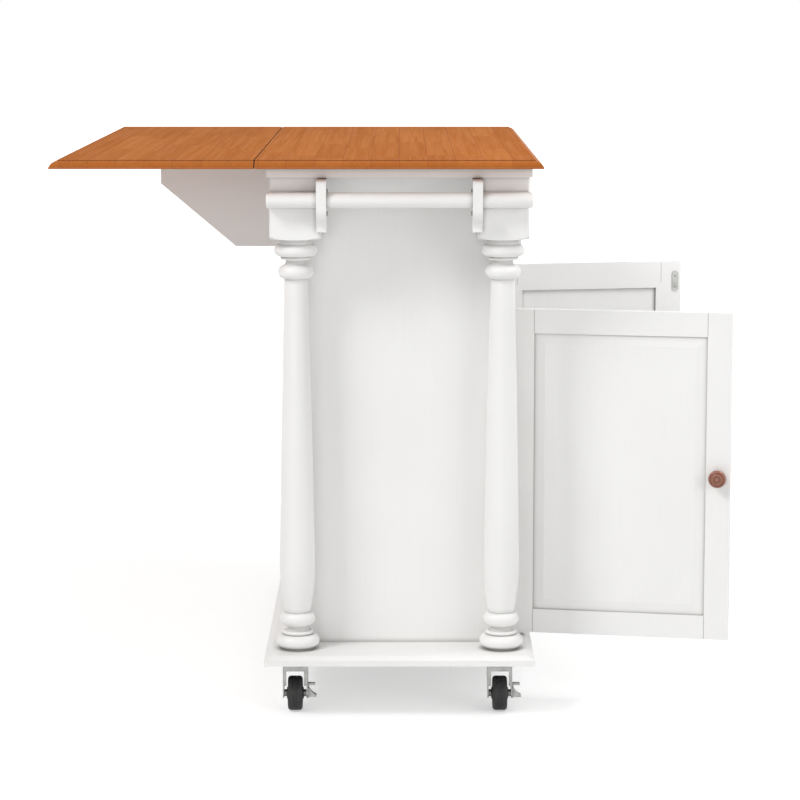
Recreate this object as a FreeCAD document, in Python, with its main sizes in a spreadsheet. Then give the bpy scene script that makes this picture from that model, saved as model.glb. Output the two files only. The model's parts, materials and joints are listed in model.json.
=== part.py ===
"""Kitchen island cart: a cabinet between four turned posts, on casters, with a drop leaf.

Millimetres.  +Z is up and z = 0 is the floor.  +X is the front, where the doors and
drawers open.  The towel bar is at the near end, -Y.  The origin is on the floor under the
middle of the cabinet.  The cart stands with its leaf raised and both doors open.
"""
import FreeCAD, Part
import math
import os
import re

import Sketcher

SIZES = {
    # overall
    "total_height": 914.0,
    "worktop_length": 1140.0,
    "worktop_width": 459.0,
    "worktop_thickness": 14.0,
    "leaf_width": 325.0,
    "seam_gap": 2.0,
    # moulded edge of the worktop and the leaf
    "edge_width": 13.3,
    "edge_quirk": 1.6,
    "edge_quirk_width": 1.2,
    "edge_lip": 2.8,
    "edge_lip_out": 0.8,
    "edge_ease": 0.8,
    # base board
    "base_length": 1114.0,
    "base_width": 441.6,
    "base_thickness": 15.0,
    "base_face": 9.5,
    "base_bevel": 11.5,
    # panels
    "cap_thickness": 16.0,
    "cap_width": 426.0,
    "cap_overhang": 4.0,
    "panel_thickness": 15.0,
    "cabinet_width": 368.0,
    "frame_thickness": 18.0,
    # posts
    "post_across": 335.6,
    "post_along": 967.6,
    "block_side": 82.4,
    "block_height": 101.5,
    "block_ease": 7.0,
    "block_root": 38.0,
    "groove_radius": 27.0,
    "groove_height": 9.0,
    "top_ring_radius": 35.6,
    "top_ring_height": 19.5,
    "step_radius": 25.2,
    "step_height": 5.0,
    "neck_radius": 17.0,
    "neck_height": 8.5,
    "bead_radius": 29.2,
    "bead_height": 23.0,
    "shaft_top_radius": 19.3,
    "shaft_crown": 0.7,
    "belly_radius": 29.0,
    "belly_height": 140.0,
    "shaft_foot_radius": 20.6,
    "foot_ring_radius": 35.8,
    "foot_ring_height": 22.5,
    "foot_contact_radius": 27.0,
    "foot_contact_height": 1.5,
    "foot_step_radius": 25.4,
    "foot_step_height": 6.5,
    "foot_neck_radius": 17.0,
    "foot_neck_height": 8.5,
    "foot_bead_radius": 29.0,
    "foot_bead_height": 22.0,
    "fillet": 2.0,
    # doors
    "door_above_base": 6.0,
    "door_height": 546.1,
    "door_width": 367.0,
    "door_thickness": 18.0,
    "door_gap": 1.5,
    "door_meeting_gap": 3.0,
    "door_overlay": 10.0,
    "door_open_angle": 100.8,
    "door_stile": 40.0,
    "door_lip": 10.0,
    "door_lip_depth": 6.0,
    "panel_edge": 9.0,
    "panel_rise": 2.6,
    "panel_bevel": 18.0,
    # door hinges
    "door_pin_out": 1.0,
    "door_swing_gap": 0.284,
    "door_hinge_length": 50.0,
    "door_hinge_inset": 70.0,
    "door_plate_width": 12.0,
    "door_plate_thickness": 0.6,
    "door_knuckle_radius": 2.2,
    "hinge_mortise_room": 0.5,
    "hinge_mortise_end_room": 1.0,
    "door_pin_radius": 1.0,
    "hinge_mortise_depth": 1.6,
    # strike plate and catch
    "strike_length": 39.0,
    "strike_width": 12.0,
    "strike_thickness": 1.2,
    "strike_below_top": 18.0,
    "strike_from_edge": 6.0,
    "catch_reach": 14.0,
    # knobs
    "knob_radius": 14.5,
    "knob_projection": 21.0,
    "knob_stem_radius": 7.0,
    "knob_foot_flare": 2.0,
    "knob_foot_height": 3.0,
    "knob_hollow": 1.5,
    "knob_ring_depth": 0.7,
    "knob_from_edge": 19.5,
    # drawers
    "drawer_below_cap": 4.0,
    "drawer_front_height": 130.0,
    "drawer_front_gap": 0.5,
    "drawer_overlay": 12.0,
    "mullion_width": 40.0,
    "drawer_depth": 325.0,
    "drawer_wall": 12.0,
    "drawer_bottom_thickness": 6.0,
    "drawer_side_clearance": 13.0,
    "drawer_top_clearance": 10.0,
    "rail_height": 7.0,
    "rail_width": 20.0,
    "rail_clearance": 0.5,
    "channel_wall": 2.0,
    # inside
    "bottom_rail_height": 18.0,
    "shelf_height": 380.0,
    "shelf_setback": 16.0,
    "shelf_clearance": 0.5,
    "pin_radius": 2.5,
    "pin_length": 16.0,
    "pin_depth": 8.0,
    "pin_inset": 40.0,
    "pin_pitch": 50.0,
    # towel bar
    "bar_radius": 12.5,
    "bar_length": 426.0,
    "bar_out": 14.0,
    "bar_below_cap": 35.4,
    "bracket_width": 16.0,
    "bracket_lap": 6.4,
    "bracket_top": 2.0,
    "bracket_drop": 87.5,
    "bracket_out": 31.0,
    "bracket_reach": 24.0,
    "bracket_round": 7.0,
    "bracket_waist_height": 40.0,
    "bracket_waist_foot": 18.0,
    "bracket_waist_in": 14.0,
    "bracket_toe_out": 8.0,
    "bracket_toe_height": 4.0,
    "bracket_screw_rise": 4.0,
    "fit_clearance": 0.05,
    "screw_head_radius": 3.6,
    "screw_head_height": 1.6,
    "screw_radius": 2.0,
    "screw_spacing": 36.0,
    # leaf hinges
    "leaf_hinge_spacing": 400.0,
    "leaf_hinge_length": 30.0,
    "leaf_plate_width": 24.0,
    "leaf_plate_thickness": 1.4,
    "leaf_knuckle_radius": 2.5,
    "leaf_pin_radius": 1.5,
    "leaf_pin_drop": 2.8,
    # leaf supports
    "support_spacing": 240.0,
    "support_thickness": 16.0,
    "support_reach": 221.0,
    "support_height": 150.7,
    "support_tip_height": 44.0,
    "support_foot": 94.5,
    "support_edge_gap": 1.6,
    "support_pin_out": 2.8,
    "support_hinge_length": 40.0,
    "support_hinge_inset": 20.0,
    "support_plate_width": 20.0,
    "support_plate_thickness": 1.2,
    # clearance between pieces that slide past each other
    "running_gap": 0.3,
    # casters
    "caster_along": 940.0,
    "caster_across": 338.3,
    "caster_aside": 3.2,
    "caster_trail": 14.0,
    "wheel_radius": 28.5,
    "wheel_width": 24.0,
    "wheel_round": 5.0,
    "hub_radius": 11.0,
    "hub_width": 28.0,
    "hub_slope": 2.0,
    "axle_radius": 4.0,
    "fork_width": 41.0,
    "fork_wall": 2.0,
    "fork_room": 20.5,
    "fork_crown": 46.0,
    "fork_shoulder_drop": 27.5,
    "fork_end_radius": 10.0,
    "fork_lip": 11.0,
    "fork_flange": 6.0,
    "fork_flange_drop": 35.5,
    "sleeve_wall": 2.0,
    "plate_side": 52.0,
    "plate_thickness": 2.4,
    "kingpin_radius": 5.0,
    "kingpin_head_radius": 8.0,
    "kingpin_head_height": 2.5,
    "raceway_radius": 18.0,
    "raceway_height": 10.2,
    "plate_hole_spacing": 40.0,
    "plate_hole_radius": 2.6,
    "plate_screw_head_radius": 4.6,
    "plate_screw_head_height": 1.5,
    "lever_thickness": 2.0,
    "lever_hub_radius": 8.5,
    "lever_reach": 35.0,
    "upper_prong_rise": 15.5,
    "upper_prong_short": 2.0,
    "upper_prong_width": 10.0,
    "lower_prong_drop": 2.5,
    "lower_prong_width": 14.0,
    "lower_prong_web": 12.0,
    "prong_thickness": 3.4,
}

doc = FreeCAD.newDocument("island_cart")
sheet = doc.addObject("Spreadsheet::Sheet", "Sizes")
for row, (alias, number) in enumerate(SIZES.items(), start=1):
    sheet.set(f"A{row}", alias)
    sheet.set(f"B{row}", str(number))
    sheet.setAlias(f"B{row}", alias)
doc.recompute()

NODES = []

# ---------------------------------------------------------------- formulas


def formula(text):
    """The expression that reads the sheet wherever text names a size."""
    return re.sub(r"[a-z_]+[a-z]", lambda m: f"Sizes.{m[0]}" if m[0] in SIZES else m[0], str(text))


def value(text):
    """What a formula comes to."""
    return float(sheet.evalExpression(formula(text)))


def bind(piece, prop, text):
    """Ties one property of a piece to a formula."""
    piece.setExpression(prop, formula(text))


def place(piece, x="0", y="0", z="0", axis=(0, 0, 1), angle="0"):
    """Puts a piece at x, y, z, turned about axis."""
    piece.Placement = FreeCAD.Placement(
        FreeCAD.Vector(value(x), value(y), value(z)),
        FreeCAD.Rotation(FreeCAD.Vector(*axis), value(angle)),
    )
    bind(piece, "Placement.Base.x", x)
    bind(piece, "Placement.Base.y", y)
    bind(piece, "Placement.Base.z", z)
    return piece


def node(piece):
    """Registers a finished sub-part, which its Label names."""
    NODES.append(piece)
    return piece


def sided(side, low, high):
    """The range low..high measured out from the middle, on the side of sign side."""
    if side > 0:
        return (f"{low}", f"{high}")
    return (f"-({high})", f"-({low})")


# ---------------------------------------------------------------- solids


def box(label, x, y, z):
    """A board between two values along each axis."""
    piece = doc.addObject("Part::Box", label)
    for prop, (low, high) in (("Length", x), ("Width", y), ("Height", z)):
        bind(piece, prop, f"({high}) - ({low})")
    return place(piece, x[0], y[0], z[0])


TURNS = {"x": ((0, 1, 0), "90"), "y": ((1, 0, 0), "-90"), "z": ((0, 0, 1), "0")}


def cylinder(label, along, radius, length, x="0", y="0", z="0"):
    """A round bar that starts at x, y, z and runs along one axis."""
    piece = doc.addObject("Part::Cylinder", label)
    bind(piece, "Radius", radius)
    bind(piece, "Height", length)
    axis, angle = TURNS[along]
    return place(piece, x, y, z, axis, angle)


def fuse(label, *pieces):
    """One solid from pieces that meet."""
    piece = doc.addObject("Part::MultiFuse", label)
    piece.Shapes = list(pieces)
    return piece


def cut(label, base, *tools):
    """The base with the tools taken out of it."""
    piece = doc.addObject("Part::Cut", label)
    piece.Base = base
    piece.Tool = tools[0] if len(tools) == 1 else fuse(f"{label}_cuts", *tools)
    return piece


def common(label, base, tool):
    """What two solids share."""
    piece = doc.addObject("Part::Common", label)
    piece.Base = base
    piece.Tool = tool
    return piece


def group(label, *pieces):
    """Separate solids that are kept together as one sub-part."""
    piece = doc.addObject("Part::Compound", label)
    piece.Links = list(pieces)
    return piece


def new_sketch(body, plane, name):
    """A sketch on one of the body's own origin planes."""
    sketch = body.newObject("Sketcher::SketchObject", name)
    planes = [feature for feature in body.Origin.OriginFeatures if feature.Role == plane]
    sketch.AttachmentSupport = [(planes[0], "")]
    sketch.MapMode = "FlatFace"
    return sketch


def hold(sketch, name, text, *constraint):
    """A dimension of a sketch, tied to a formula."""
    index = sketch.addConstraint(Sketcher.Constraint(*constraint, value(text)))
    sketch.renameConstraint(index, name)
    bind(sketch, f"Constraints.{name}", text)


def arc_between(start, end, bulge):
    """The arc from start to end; bulge is its height over half its chord, positive
    for a left-hand turn."""
    chord = end - start
    radius = chord.Length * (1 + bulge * bulge) / (4 * abs(bulge))
    height = abs(bulge) * chord.Length / 2
    left = FreeCAD.Vector(-chord.y, chord.x, 0).normalize()
    side = 1 if bulge > 0 else -1
    centre = (start + end) / 2 + left * side * (radius - height)
    first, last = (start, end) if bulge > 0 else (end, start)
    from_angle = math.atan2(first.y - centre.y, first.x - centre.x)
    to_angle = math.atan2(last.y - centre.y, last.x - centre.x)
    if to_angle <= from_angle:
        to_angle += 2 * math.pi
    circle = Part.Circle(centre, FreeCAD.Vector(0, 0, 1), radius)
    return Part.ArcOfCircle(circle, from_angle, to_angle)


def outline(sketch, points):
    """A closed outline.  Each point is (across, up) or (across, up, bulge), where the
    bulge, a number or a formula, bends the edge that leaves the point."""
    count = len(points)
    spots = [FreeCAD.Vector(value(point[0]), value(point[1]), 0) for point in points]
    ends = []
    for i, point in enumerate(points):
        start, end = spots[i], spots[(i + 1) % count]
        if len(point) == 3:
            bulge = value(point[2])
            edge = sketch.addGeometry(arc_between(start, end, bulge))
            ends.append((edge, 1, 2) if bulge > 0 else (edge, 2, 1))
        else:
            edge = sketch.addGeometry(Part.LineSegment(start, end))
            ends.append((edge, 1, 2))
    for i, point in enumerate(points):
        edge, first, _ = ends[i]
        before, _, last = ends[i - 1]
        sketch.addConstraint(Sketcher.Constraint("Coincident", before, last, edge, first))
        hold(sketch, f"across_{i}", point[0], "DistanceX", -1, 1, edge, first)
        hold(sketch, f"up_{i}", point[1], "DistanceY", -1, 1, edge, first)
        if len(point) == 3:
            after = points[(i + 1) % count]
            chord = f"sqrt((({after[0]}) - ({point[0]}))^2 + (({after[1]}) - ({point[1]}))^2)"
            share = f"(1 + ({point[2]})^2) / (4 * abs({point[2]}))"
            hold(sketch, f"radius_{i}", f"{chord} * {share}", "Radius", edge)


def padded(label, plane, points, length):
    """A body padded from one outline: along +Z from XY_Plane, -Y from XZ_Plane and +X
    from YZ_Plane."""
    body = doc.addObject("PartDesign::Body", label)
    sketch = new_sketch(body, plane, f"{label}_outline")
    outline(sketch, points)
    pad = body.newObject("PartDesign::Pad", f"{label}_pad")
    pad.Profile = sketch
    bind(pad, "Length", length)
    sketch.Visibility = False
    return body


def turned(label, plane, points, axis):
    """A body turned on the lathe from one outline about a sketch axis."""
    body = doc.addObject("PartDesign::Body", label)
    sketch = new_sketch(body, plane, f"{label}_outline")
    outline(sketch, points)
    turn = body.newObject("PartDesign::Revolution", f"{label}_turning")
    turn.Profile = sketch
    turn.ReferenceAxis = (sketch, [axis])
    turn.Angle = 360
    return body


# ---------------------------------------------------------------- shared places

FORK_TOP = "2 * wheel_radius + fork_room"
CASTER_TOP = f"{FORK_TOP} + running_gap + raceway_height + plate_thickness"
BASE_TOP = f"{CASTER_TOP} + base_thickness"
DOOR_BOTTOM = f"{BASE_TOP} + door_above_base"
TOP_UNDER = "total_height - worktop_thickness"
CAP_UNDER = f"{TOP_UNDER} - cap_thickness"
DRAWER_BOTTOM = f"{CAP_UNDER} - drawer_below_cap - drawer_front_height"
CABINET_END = "post_along / 2 - block_side / 2"
CABINET_SIDE = "cabinet_width / 2"
INSIDE_END = f"{CABINET_END} - panel_thickness"
FRAME_BACK = f"{CABINET_SIDE} - frame_thickness"
DOOR_EDGE = "door_meeting_gap / 2 + door_width"
STILE_INNER = f"{DOOR_EDGE} - door_overlay"
DRAWER_OPENING_TOP = f"{DRAWER_BOTTOM} + drawer_front_height - drawer_overlay"
DRAWER_OPENING_BOTTOM = f"{DRAWER_BOTTOM} + drawer_overlay"
DOOR_PIN_X = f"{CABINET_SIDE} + door_pin_out"
DOOR_TURN = "door_open_angle * 1 deg"
DOOR_CORNER = f"(door_gap - door_pin_out + door_thickness) * -cos({DOOR_TURN})"
PIN_ASIDE = f"(({DOOR_CORNER} - door_pin_out + door_swing_gap) / sin({DOOR_TURN}))"
DOOR_PIN_Y = f"{DOOR_EDGE} + {PIN_ASIDE}"
SEAM_X = "-(worktop_width / 2 + seam_gap / 2)"

# ---------------------------------------------------------------- boards


def moulded_end(edge, up):
    """Half of a board's section, from its lower face round its moulded edge to its
    upper face: a lip, a broad round and a small quirk."""
    quirk_floor = f"{up} + worktop_thickness - edge_quirk"
    return [
        (f"{edge} - edge_ease", up, 0.4142),
        (edge, f"{up} + edge_ease"),
        (edge, f"{up} + edge_lip"),
        (f"{edge} - edge_lip_out", f"{up} + edge_lip", 0.28),
        (f"{edge} - edge_width + edge_quirk_width", quirk_floor),
        (f"{edge} - edge_width", quirk_floor),
        (f"{edge} - edge_width", f"{up} + worktop_thickness"),
    ]


def mirrored_end(points):
    """The same edge on the other side, so that the outline closes."""
    count = len(points)
    other = []
    for i in range(count - 1, -1, -1):
        across, up = points[i][:2]
        before = points[i - 1] if i else ()
        bend = (before[2],) if len(before) == 3 else ()
        other.append((f"-({across})", up, *bend))
    return other


def moulded_board(label, left, right):
    """A board with a moulded edge round three sides, and square along its left side."""
    width_section = moulded_end(f"({right}) - ({left})", "0")
    width_section += [("0", "worktop_thickness"), ("0", "0")]
    long_board = padded(f"{label}_width_section", "XZ_Plane", width_section, "worktop_length")
    place(long_board, left, "worktop_length / 2", TOP_UNDER)
    half = moulded_end("worktop_length / 2", "0")
    cross_board = padded(
        f"{label}_length_section", "YZ_Plane", half + mirrored_end(half), f"({right}) - ({left})"
    )
    place(cross_board, left, "0", TOP_UNDER)
    return common(label, long_board, cross_board)


def base_board():
    """The plinth: an upright face, then a bevel up to the top face."""

    def half(edge):
        return [(edge, "0"), (edge, "base_face"), (f"{edge} - base_bevel", "base_thickness")]

    width = half("base_width / 2")
    length = half("base_length / 2")
    long_board = padded("base_width_section", "XZ_Plane", width + mirrored_end(width), "base_length")
    place(long_board, "0", "base_length / 2", CASTER_TOP)
    cross_board = padded(
        "base_length_section", "YZ_Plane", length + mirrored_end(length), "base_width"
    )
    place(cross_board, "-base_width / 2", "0", CASTER_TOP)
    node(common("base_board", long_board, cross_board))


def worktop_and_leaf():
    """The fixed top is square where the leaf meets it; the leaf is its mirror image."""
    node(moulded_board("worktop", "-worktop_width / 2", "worktop_width / 2"))
    leaf = moulded_board("drop_leaf", "0", "leaf_width")
    node(place(leaf, f"{SEAM_X} - seam_gap / 2", "0", "0", (0, 0, 1), "180"))


# ---------------------------------------------------------------- posts


def swelling(widest, low, high, height):
    """The bulge of an edge that goes up from radius low to radius high and swells out,
    or draws in, to radius widest halfway."""
    return f"2 * (({widest}) - (({low}) + ({high})) / 2) / ({height})"


def turned_outline():
    """The turned part of a post, from the axis at its foot up to its block."""
    ring_low = f"{CAP_UNDER} - block_height - groove_height - top_ring_height"
    step_low = f"{ring_low} - step_height"
    neck_low = f"{step_low} - neck_height"
    bead_low = f"{neck_low} - bead_height"
    foot_ring_low = f"{BASE_TOP} + foot_contact_height"
    foot_top = f"{foot_ring_low} + foot_ring_height"
    foot_step_top = f"{foot_top} + foot_step_height"
    foot_neck_top = f"{foot_step_top} + foot_neck_height"
    foot_bead_top = f"{foot_neck_top} + foot_bead_height"
    belly = f"{BASE_TOP} + belly_height"
    groove_top = f"{CAP_UNDER} - block_height + fillet"

    def bent(low, high, z, widest, height):
        return (low, z, swelling(widest, low, high, height))

    contact = "foot_contact_radius"
    step = "foot_step_radius - fillet / 2"
    step_in = "foot_step_radius - 2 * fillet"
    foot_neck = "foot_neck_radius + fillet"
    foot_neck_out = "foot_neck_radius + 2 * fillet"
    shaft_foot = "shaft_foot_radius + fillet / 2"
    belly_bow = f"(belly_radius - shaft_foot_radius) / (2 * (({belly}) - ({foot_bead_top})))"
    shaft_bow = f"2 * shaft_crown / (({bead_low}) - ({belly}))"
    neck = "neck_radius + fillet"
    head_step = "step_radius - fillet / 2"
    groove = "groove_radius + fillet / 2"
    return [
        ("0", BASE_TOP),
        (contact, BASE_TOP),
        bent(contact, "foot_step_radius + fillet", foot_ring_low, "foot_ring_radius", "foot_ring_height"),
        ("foot_step_radius + fillet", foot_top),
        bent(step, step_in, foot_top, "foot_step_radius", "foot_step_height"),
        (step_in, foot_step_top),
        bent(foot_neck, foot_neck_out, foot_step_top, "foot_neck_radius", "foot_neck_height"),
        bent(foot_neck_out, shaft_foot, foot_neck_top, "foot_bead_radius", "foot_bead_height"),
        (shaft_foot, foot_bead_top),
        ("shaft_foot_radius", foot_bead_top, belly_bow),
        ("belly_radius", belly, shaft_bow),
        ("shaft_top_radius", bead_low),
        bent("shaft_top_radius + fillet", neck, bead_low, "bead_radius", "bead_height"),
        bent(neck, "neck_radius + fillet / 2", neck_low, "neck_radius", "neck_height"),
        ("neck_radius + fillet / 2", step_low),
        bent(head_step, head_step, step_low, "step_radius", "step_height"),
        (head_step, ring_low),
        bent("step_radius + fillet", groove, ring_low, "top_ring_radius", "top_ring_height"),
        (groove, f"{ring_low} + top_ring_height"),
        ("groove_radius", f"{ring_low} + top_ring_height"),
        ("groove_radius", groove_top),
        ("0", groove_top),
    ]


def post(label, x, y):
    """A square block over a turned leg; the lathe has rounded the block's lower corners."""
    leg = turned(f"{label}_turned", "XZ_Plane", turned_outline(), "V_Axis")
    low = f"{CAP_UNDER} - block_height"
    reach = "block_side * sqrt(2) / 2 + fillet"
    envelope = turned(
        f"{label}_envelope",
        "XZ_Plane",
        [
            ("0", low),
            ("block_root", low, 0.35),
            (reach, f"{low} + block_ease"),
            (reach, CAP_UNDER),
            ("0", CAP_UNDER),
        ],
        "V_Axis",
    )
    half = ("-block_side / 2", "block_side / 2")
    square = box(f"{label}_square", half, half, (low, CAP_UNDER))
    block = common(f"{label}_block", square, envelope)
    node(place(fuse(label, leg, block), x, y))


def posts():
    """One post at each corner."""
    for end, y in (("near", "-post_along / 2"), ("far", "post_along / 2")):
        for side, x in (("front", "post_across / 2"), ("back", "-post_across / 2")):
            post(f"post_{end}_{side}", x, y)


# ---------------------------------------------------------------- cabinet


def pin_holes(side, tag):
    """Blind holes for the shelf pins in one end panel, in two columns of three."""
    holes = []
    for column, x in enumerate((f"-{CABINET_SIDE} + pin_inset", f"{FRAME_BACK} - pin_inset")):
        for level in (-1, 0, 1):
            y = INSIDE_END if side > 0 else f"-({INSIDE_END}) - pin_depth"
            z = f"shelf_height - pin_radius + {level} * pin_pitch"
            holes.append(
                cylinder(f"{tag}_hole_{column}_{level + 1}", "y", "pin_radius", "pin_depth", x, y, z)
            )
    return holes


def cabinet():
    """The carcass: end panels, back, floor, deck, divider, top, end caps and face frame."""
    depth = (f"-{CABINET_SIDE}", FRAME_BACK)
    inner = (f"-{CABINET_SIDE} + panel_thickness", FRAME_BACK)
    ends = []
    for side, end in ((-1, "near"), (1, "far")):
        board = box(f"end_board_{end}", depth, sided(side, INSIDE_END, CABINET_END), (BASE_TOP, CAP_UNDER))
        ends.append(cut(f"end_panel_{end}", board, *pin_holes(side, end)))
    node(group("end_panels", *ends))
    whole = (f"-({INSIDE_END})", INSIDE_END)
    node(box("back_panel", (f"-{CABINET_SIDE}", inner[0]), whole, (BASE_TOP, CAP_UNDER)))
    floor_top = f"{BASE_TOP} + panel_thickness"
    floor = box("floor_board", inner, whole, (BASE_TOP, floor_top))
    deck_levels = (f"{DRAWER_OPENING_BOTTOM} - panel_thickness", DRAWER_OPENING_BOTTOM)
    deck = box("deck_board", inner, whole, deck_levels)
    node(group("cabinet_floor_and_deck", floor, deck))
    half_wall = ("-panel_thickness / 2", "panel_thickness / 2")
    node(box("drawer_divider", inner, half_wall, (DRAWER_OPENING_BOTTOM, CAP_UNDER)))
    full = (f"-({CABINET_END})", CABINET_END)
    node(box("top_panel", (f"-{CABINET_SIDE}", CABINET_SIDE), full, (CAP_UNDER, TOP_UNDER)))
    cap_end = "post_along / 2 + block_side / 2 + cap_overhang"
    caps = [
        box(
            f"end_cap_{end}",
            ("-cap_width / 2", "cap_width / 2"),
            sided(side, CABINET_END, cap_end),
            (CAP_UNDER, TOP_UNDER),
        )
        for side, end in ((-1, "near"), (1, "far"))
    ]
    node(group("end_caps", *caps))


def face_frame():
    """Two stiles with hinge mortises, three rails between them and a short mullion."""
    front = (FRAME_BACK, CABINET_SIDE)
    room = "door_knuckle_radius + hinge_mortise_room"
    stiles = []
    for side, end in ((-1, "near"), (1, "far")):
        board = box(
            f"stile_board_{end}", front, sided(side, STILE_INNER, CABINET_END), (BASE_TOP, CAP_UNDER)
        )
        mortises = [
            box(
                f"mortise_{end}_{place_name}",
                (f"{CABINET_SIDE} - hinge_mortise_depth", CABINET_SIDE),
                sided(side, f"{DOOR_PIN_Y} - ({room})", f"{DOOR_PIN_Y} + {room}"),
                (f"{low} - hinge_mortise_end_room", f"{low} + door_hinge_length + hinge_mortise_end_room"),
            )
            for place_name, low in DOOR_HINGES
        ]
        stiles.append(cut(f"stile_{end}", board, *mortises))
    node(group("frame_stiles", *stiles))
    between = (f"-({STILE_INNER})", STILE_INNER)
    bottom = box("bottom_rail", front, between, (BASE_TOP, f"{BASE_TOP} + bottom_rail_height"))
    door_top = f"{DOOR_BOTTOM} + door_height"
    middle = box("middle_rail", front, between, (f"{door_top} - door_overlay", DRAWER_OPENING_BOTTOM))
    top = box("top_rail", front, between, (DRAWER_OPENING_TOP, CAP_UNDER))
    half = ("-mullion_width / 2", "mullion_width / 2")
    mullion = box("mullion", front, half, (DRAWER_OPENING_BOTTOM, DRAWER_OPENING_TOP))
    node(group("frame_rails", bottom, middle, top, mullion))


def shelf():
    """The adjustable shelf on its four pins."""
    back = f"-{CABINET_SIDE} + panel_thickness + shelf_clearance"
    span = f"{INSIDE_END} - shelf_clearance"
    node(
        box(
            "shelf",
            (back, f"{FRAME_BACK} - shelf_setback"),
            (f"-({span})", span),
            ("shelf_height", "shelf_height + panel_thickness"),
        )
    )
    pins = []
    for side, end in ((-1, "near"), (1, "far")):
        outer = f"{INSIDE_END} + pin_depth"
        y = f"{outer} - pin_length" if side > 0 else f"-({outer})"
        for column, x in enumerate((f"-{CABINET_SIDE} + pin_inset", f"{FRAME_BACK} - pin_inset")):
            label = f"pin_{end}_{column}"
            z = "shelf_height - pin_radius"
            pins.append(cylinder(label, "y", "pin_radius", "pin_length", x, y, z))
    node(group("shelf_pins", *pins))


# ---------------------------------------------------------------- hinges


def hinge_half(label, length, width, plate, knuckle, pin, side, inner):
    """Half of a butt hinge.  Its pin runs up from the local origin, and its plate lies
    between the two values of plate across y, on the side of x that side gives.  The
    inner half has the middle knuckle and the pin, and the outer half has the end
    knuckles, bored for the pin."""
    third = f"({length}) / 3"
    gap = "running_gap"
    body = box(f"{label}_plate", sided(side, f"{knuckle} + {gap}", width), plate, ("0", length))
    if inner:
        spans = [(f"{third} + {gap} / 2", f"2 * {third} - {gap} / 2")]
    else:
        spans = [("0", f"{third} - {gap} / 2"), (f"2 * {third} + {gap} / 2", length)]
    pieces = [body]
    for i, (low, high) in enumerate(spans):
        height = f"({high}) - ({low})"
        pieces.append(cylinder(f"{label}_knuckle_{i}", "z", knuckle, height, "0", "0", low))
        tongue = sided(side, "0", f"{knuckle} + {gap} + fit_clearance")
        pieces.append(box(f"{label}_tongue_{i}", tongue, plate, (low, high)))
    if inner:
        pieces.append(cylinder(f"{label}_pin", "z", pin, length))
        return fuse(label, *pieces)
    bore = cylinder(f"{label}_bore", "z", f"{pin} + fit_clearance", length)
    return cut(label, fuse(f"{label}_solid", *pieces), bore)


DOOR_HINGES = (
    ("lower", f"{DOOR_BOTTOM} + door_hinge_inset"),
    ("upper", f"{DOOR_BOTTOM} + door_height - door_hinge_inset - door_hinge_length"),
)


def hang(piece, side, x="0", y="0", z="0"):
    """Places a piece of a door, drawn about its hinge pin with the door shut, in the
    open door."""
    turn = f"{side} * door_open_angle * 1 deg"
    across = f"({x}) * cos({turn}) - ({y}) * sin({turn})"
    along = f"({x}) * sin({turn}) + ({y}) * cos({turn})"
    pin_y = f"{side} * ({DOOR_PIN_Y})"
    angle = side * value("door_open_angle")
    place(piece, f"{DOOR_PIN_X} + {across}", f"{pin_y} + {along}", z, (0, 0, 1), str(angle))
    return piece


def door_hinges():
    """The halves that stay on the face frame."""
    plate = ("-door_pin_out", "-door_pin_out + door_plate_thickness")
    halves = []
    for side, end in ((-1, "near"), (1, "far")):
        for name, low in DOOR_HINGES:
            half = hinge_half(
                f"door_hinge_{end}_{name}",
                "door_hinge_length",
                "door_plate_width",
                plate,
                "door_knuckle_radius",
                "door_pin_radius",
                side,
                True,
            )
            place(half, DOOR_PIN_X, f"{side} * ({DOOR_PIN_Y})", low, (0, 0, 1), "-90")
            halves.append(half)
    node(group("door_hinge_frame_halves", *halves))


# ---------------------------------------------------------------- doors


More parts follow.
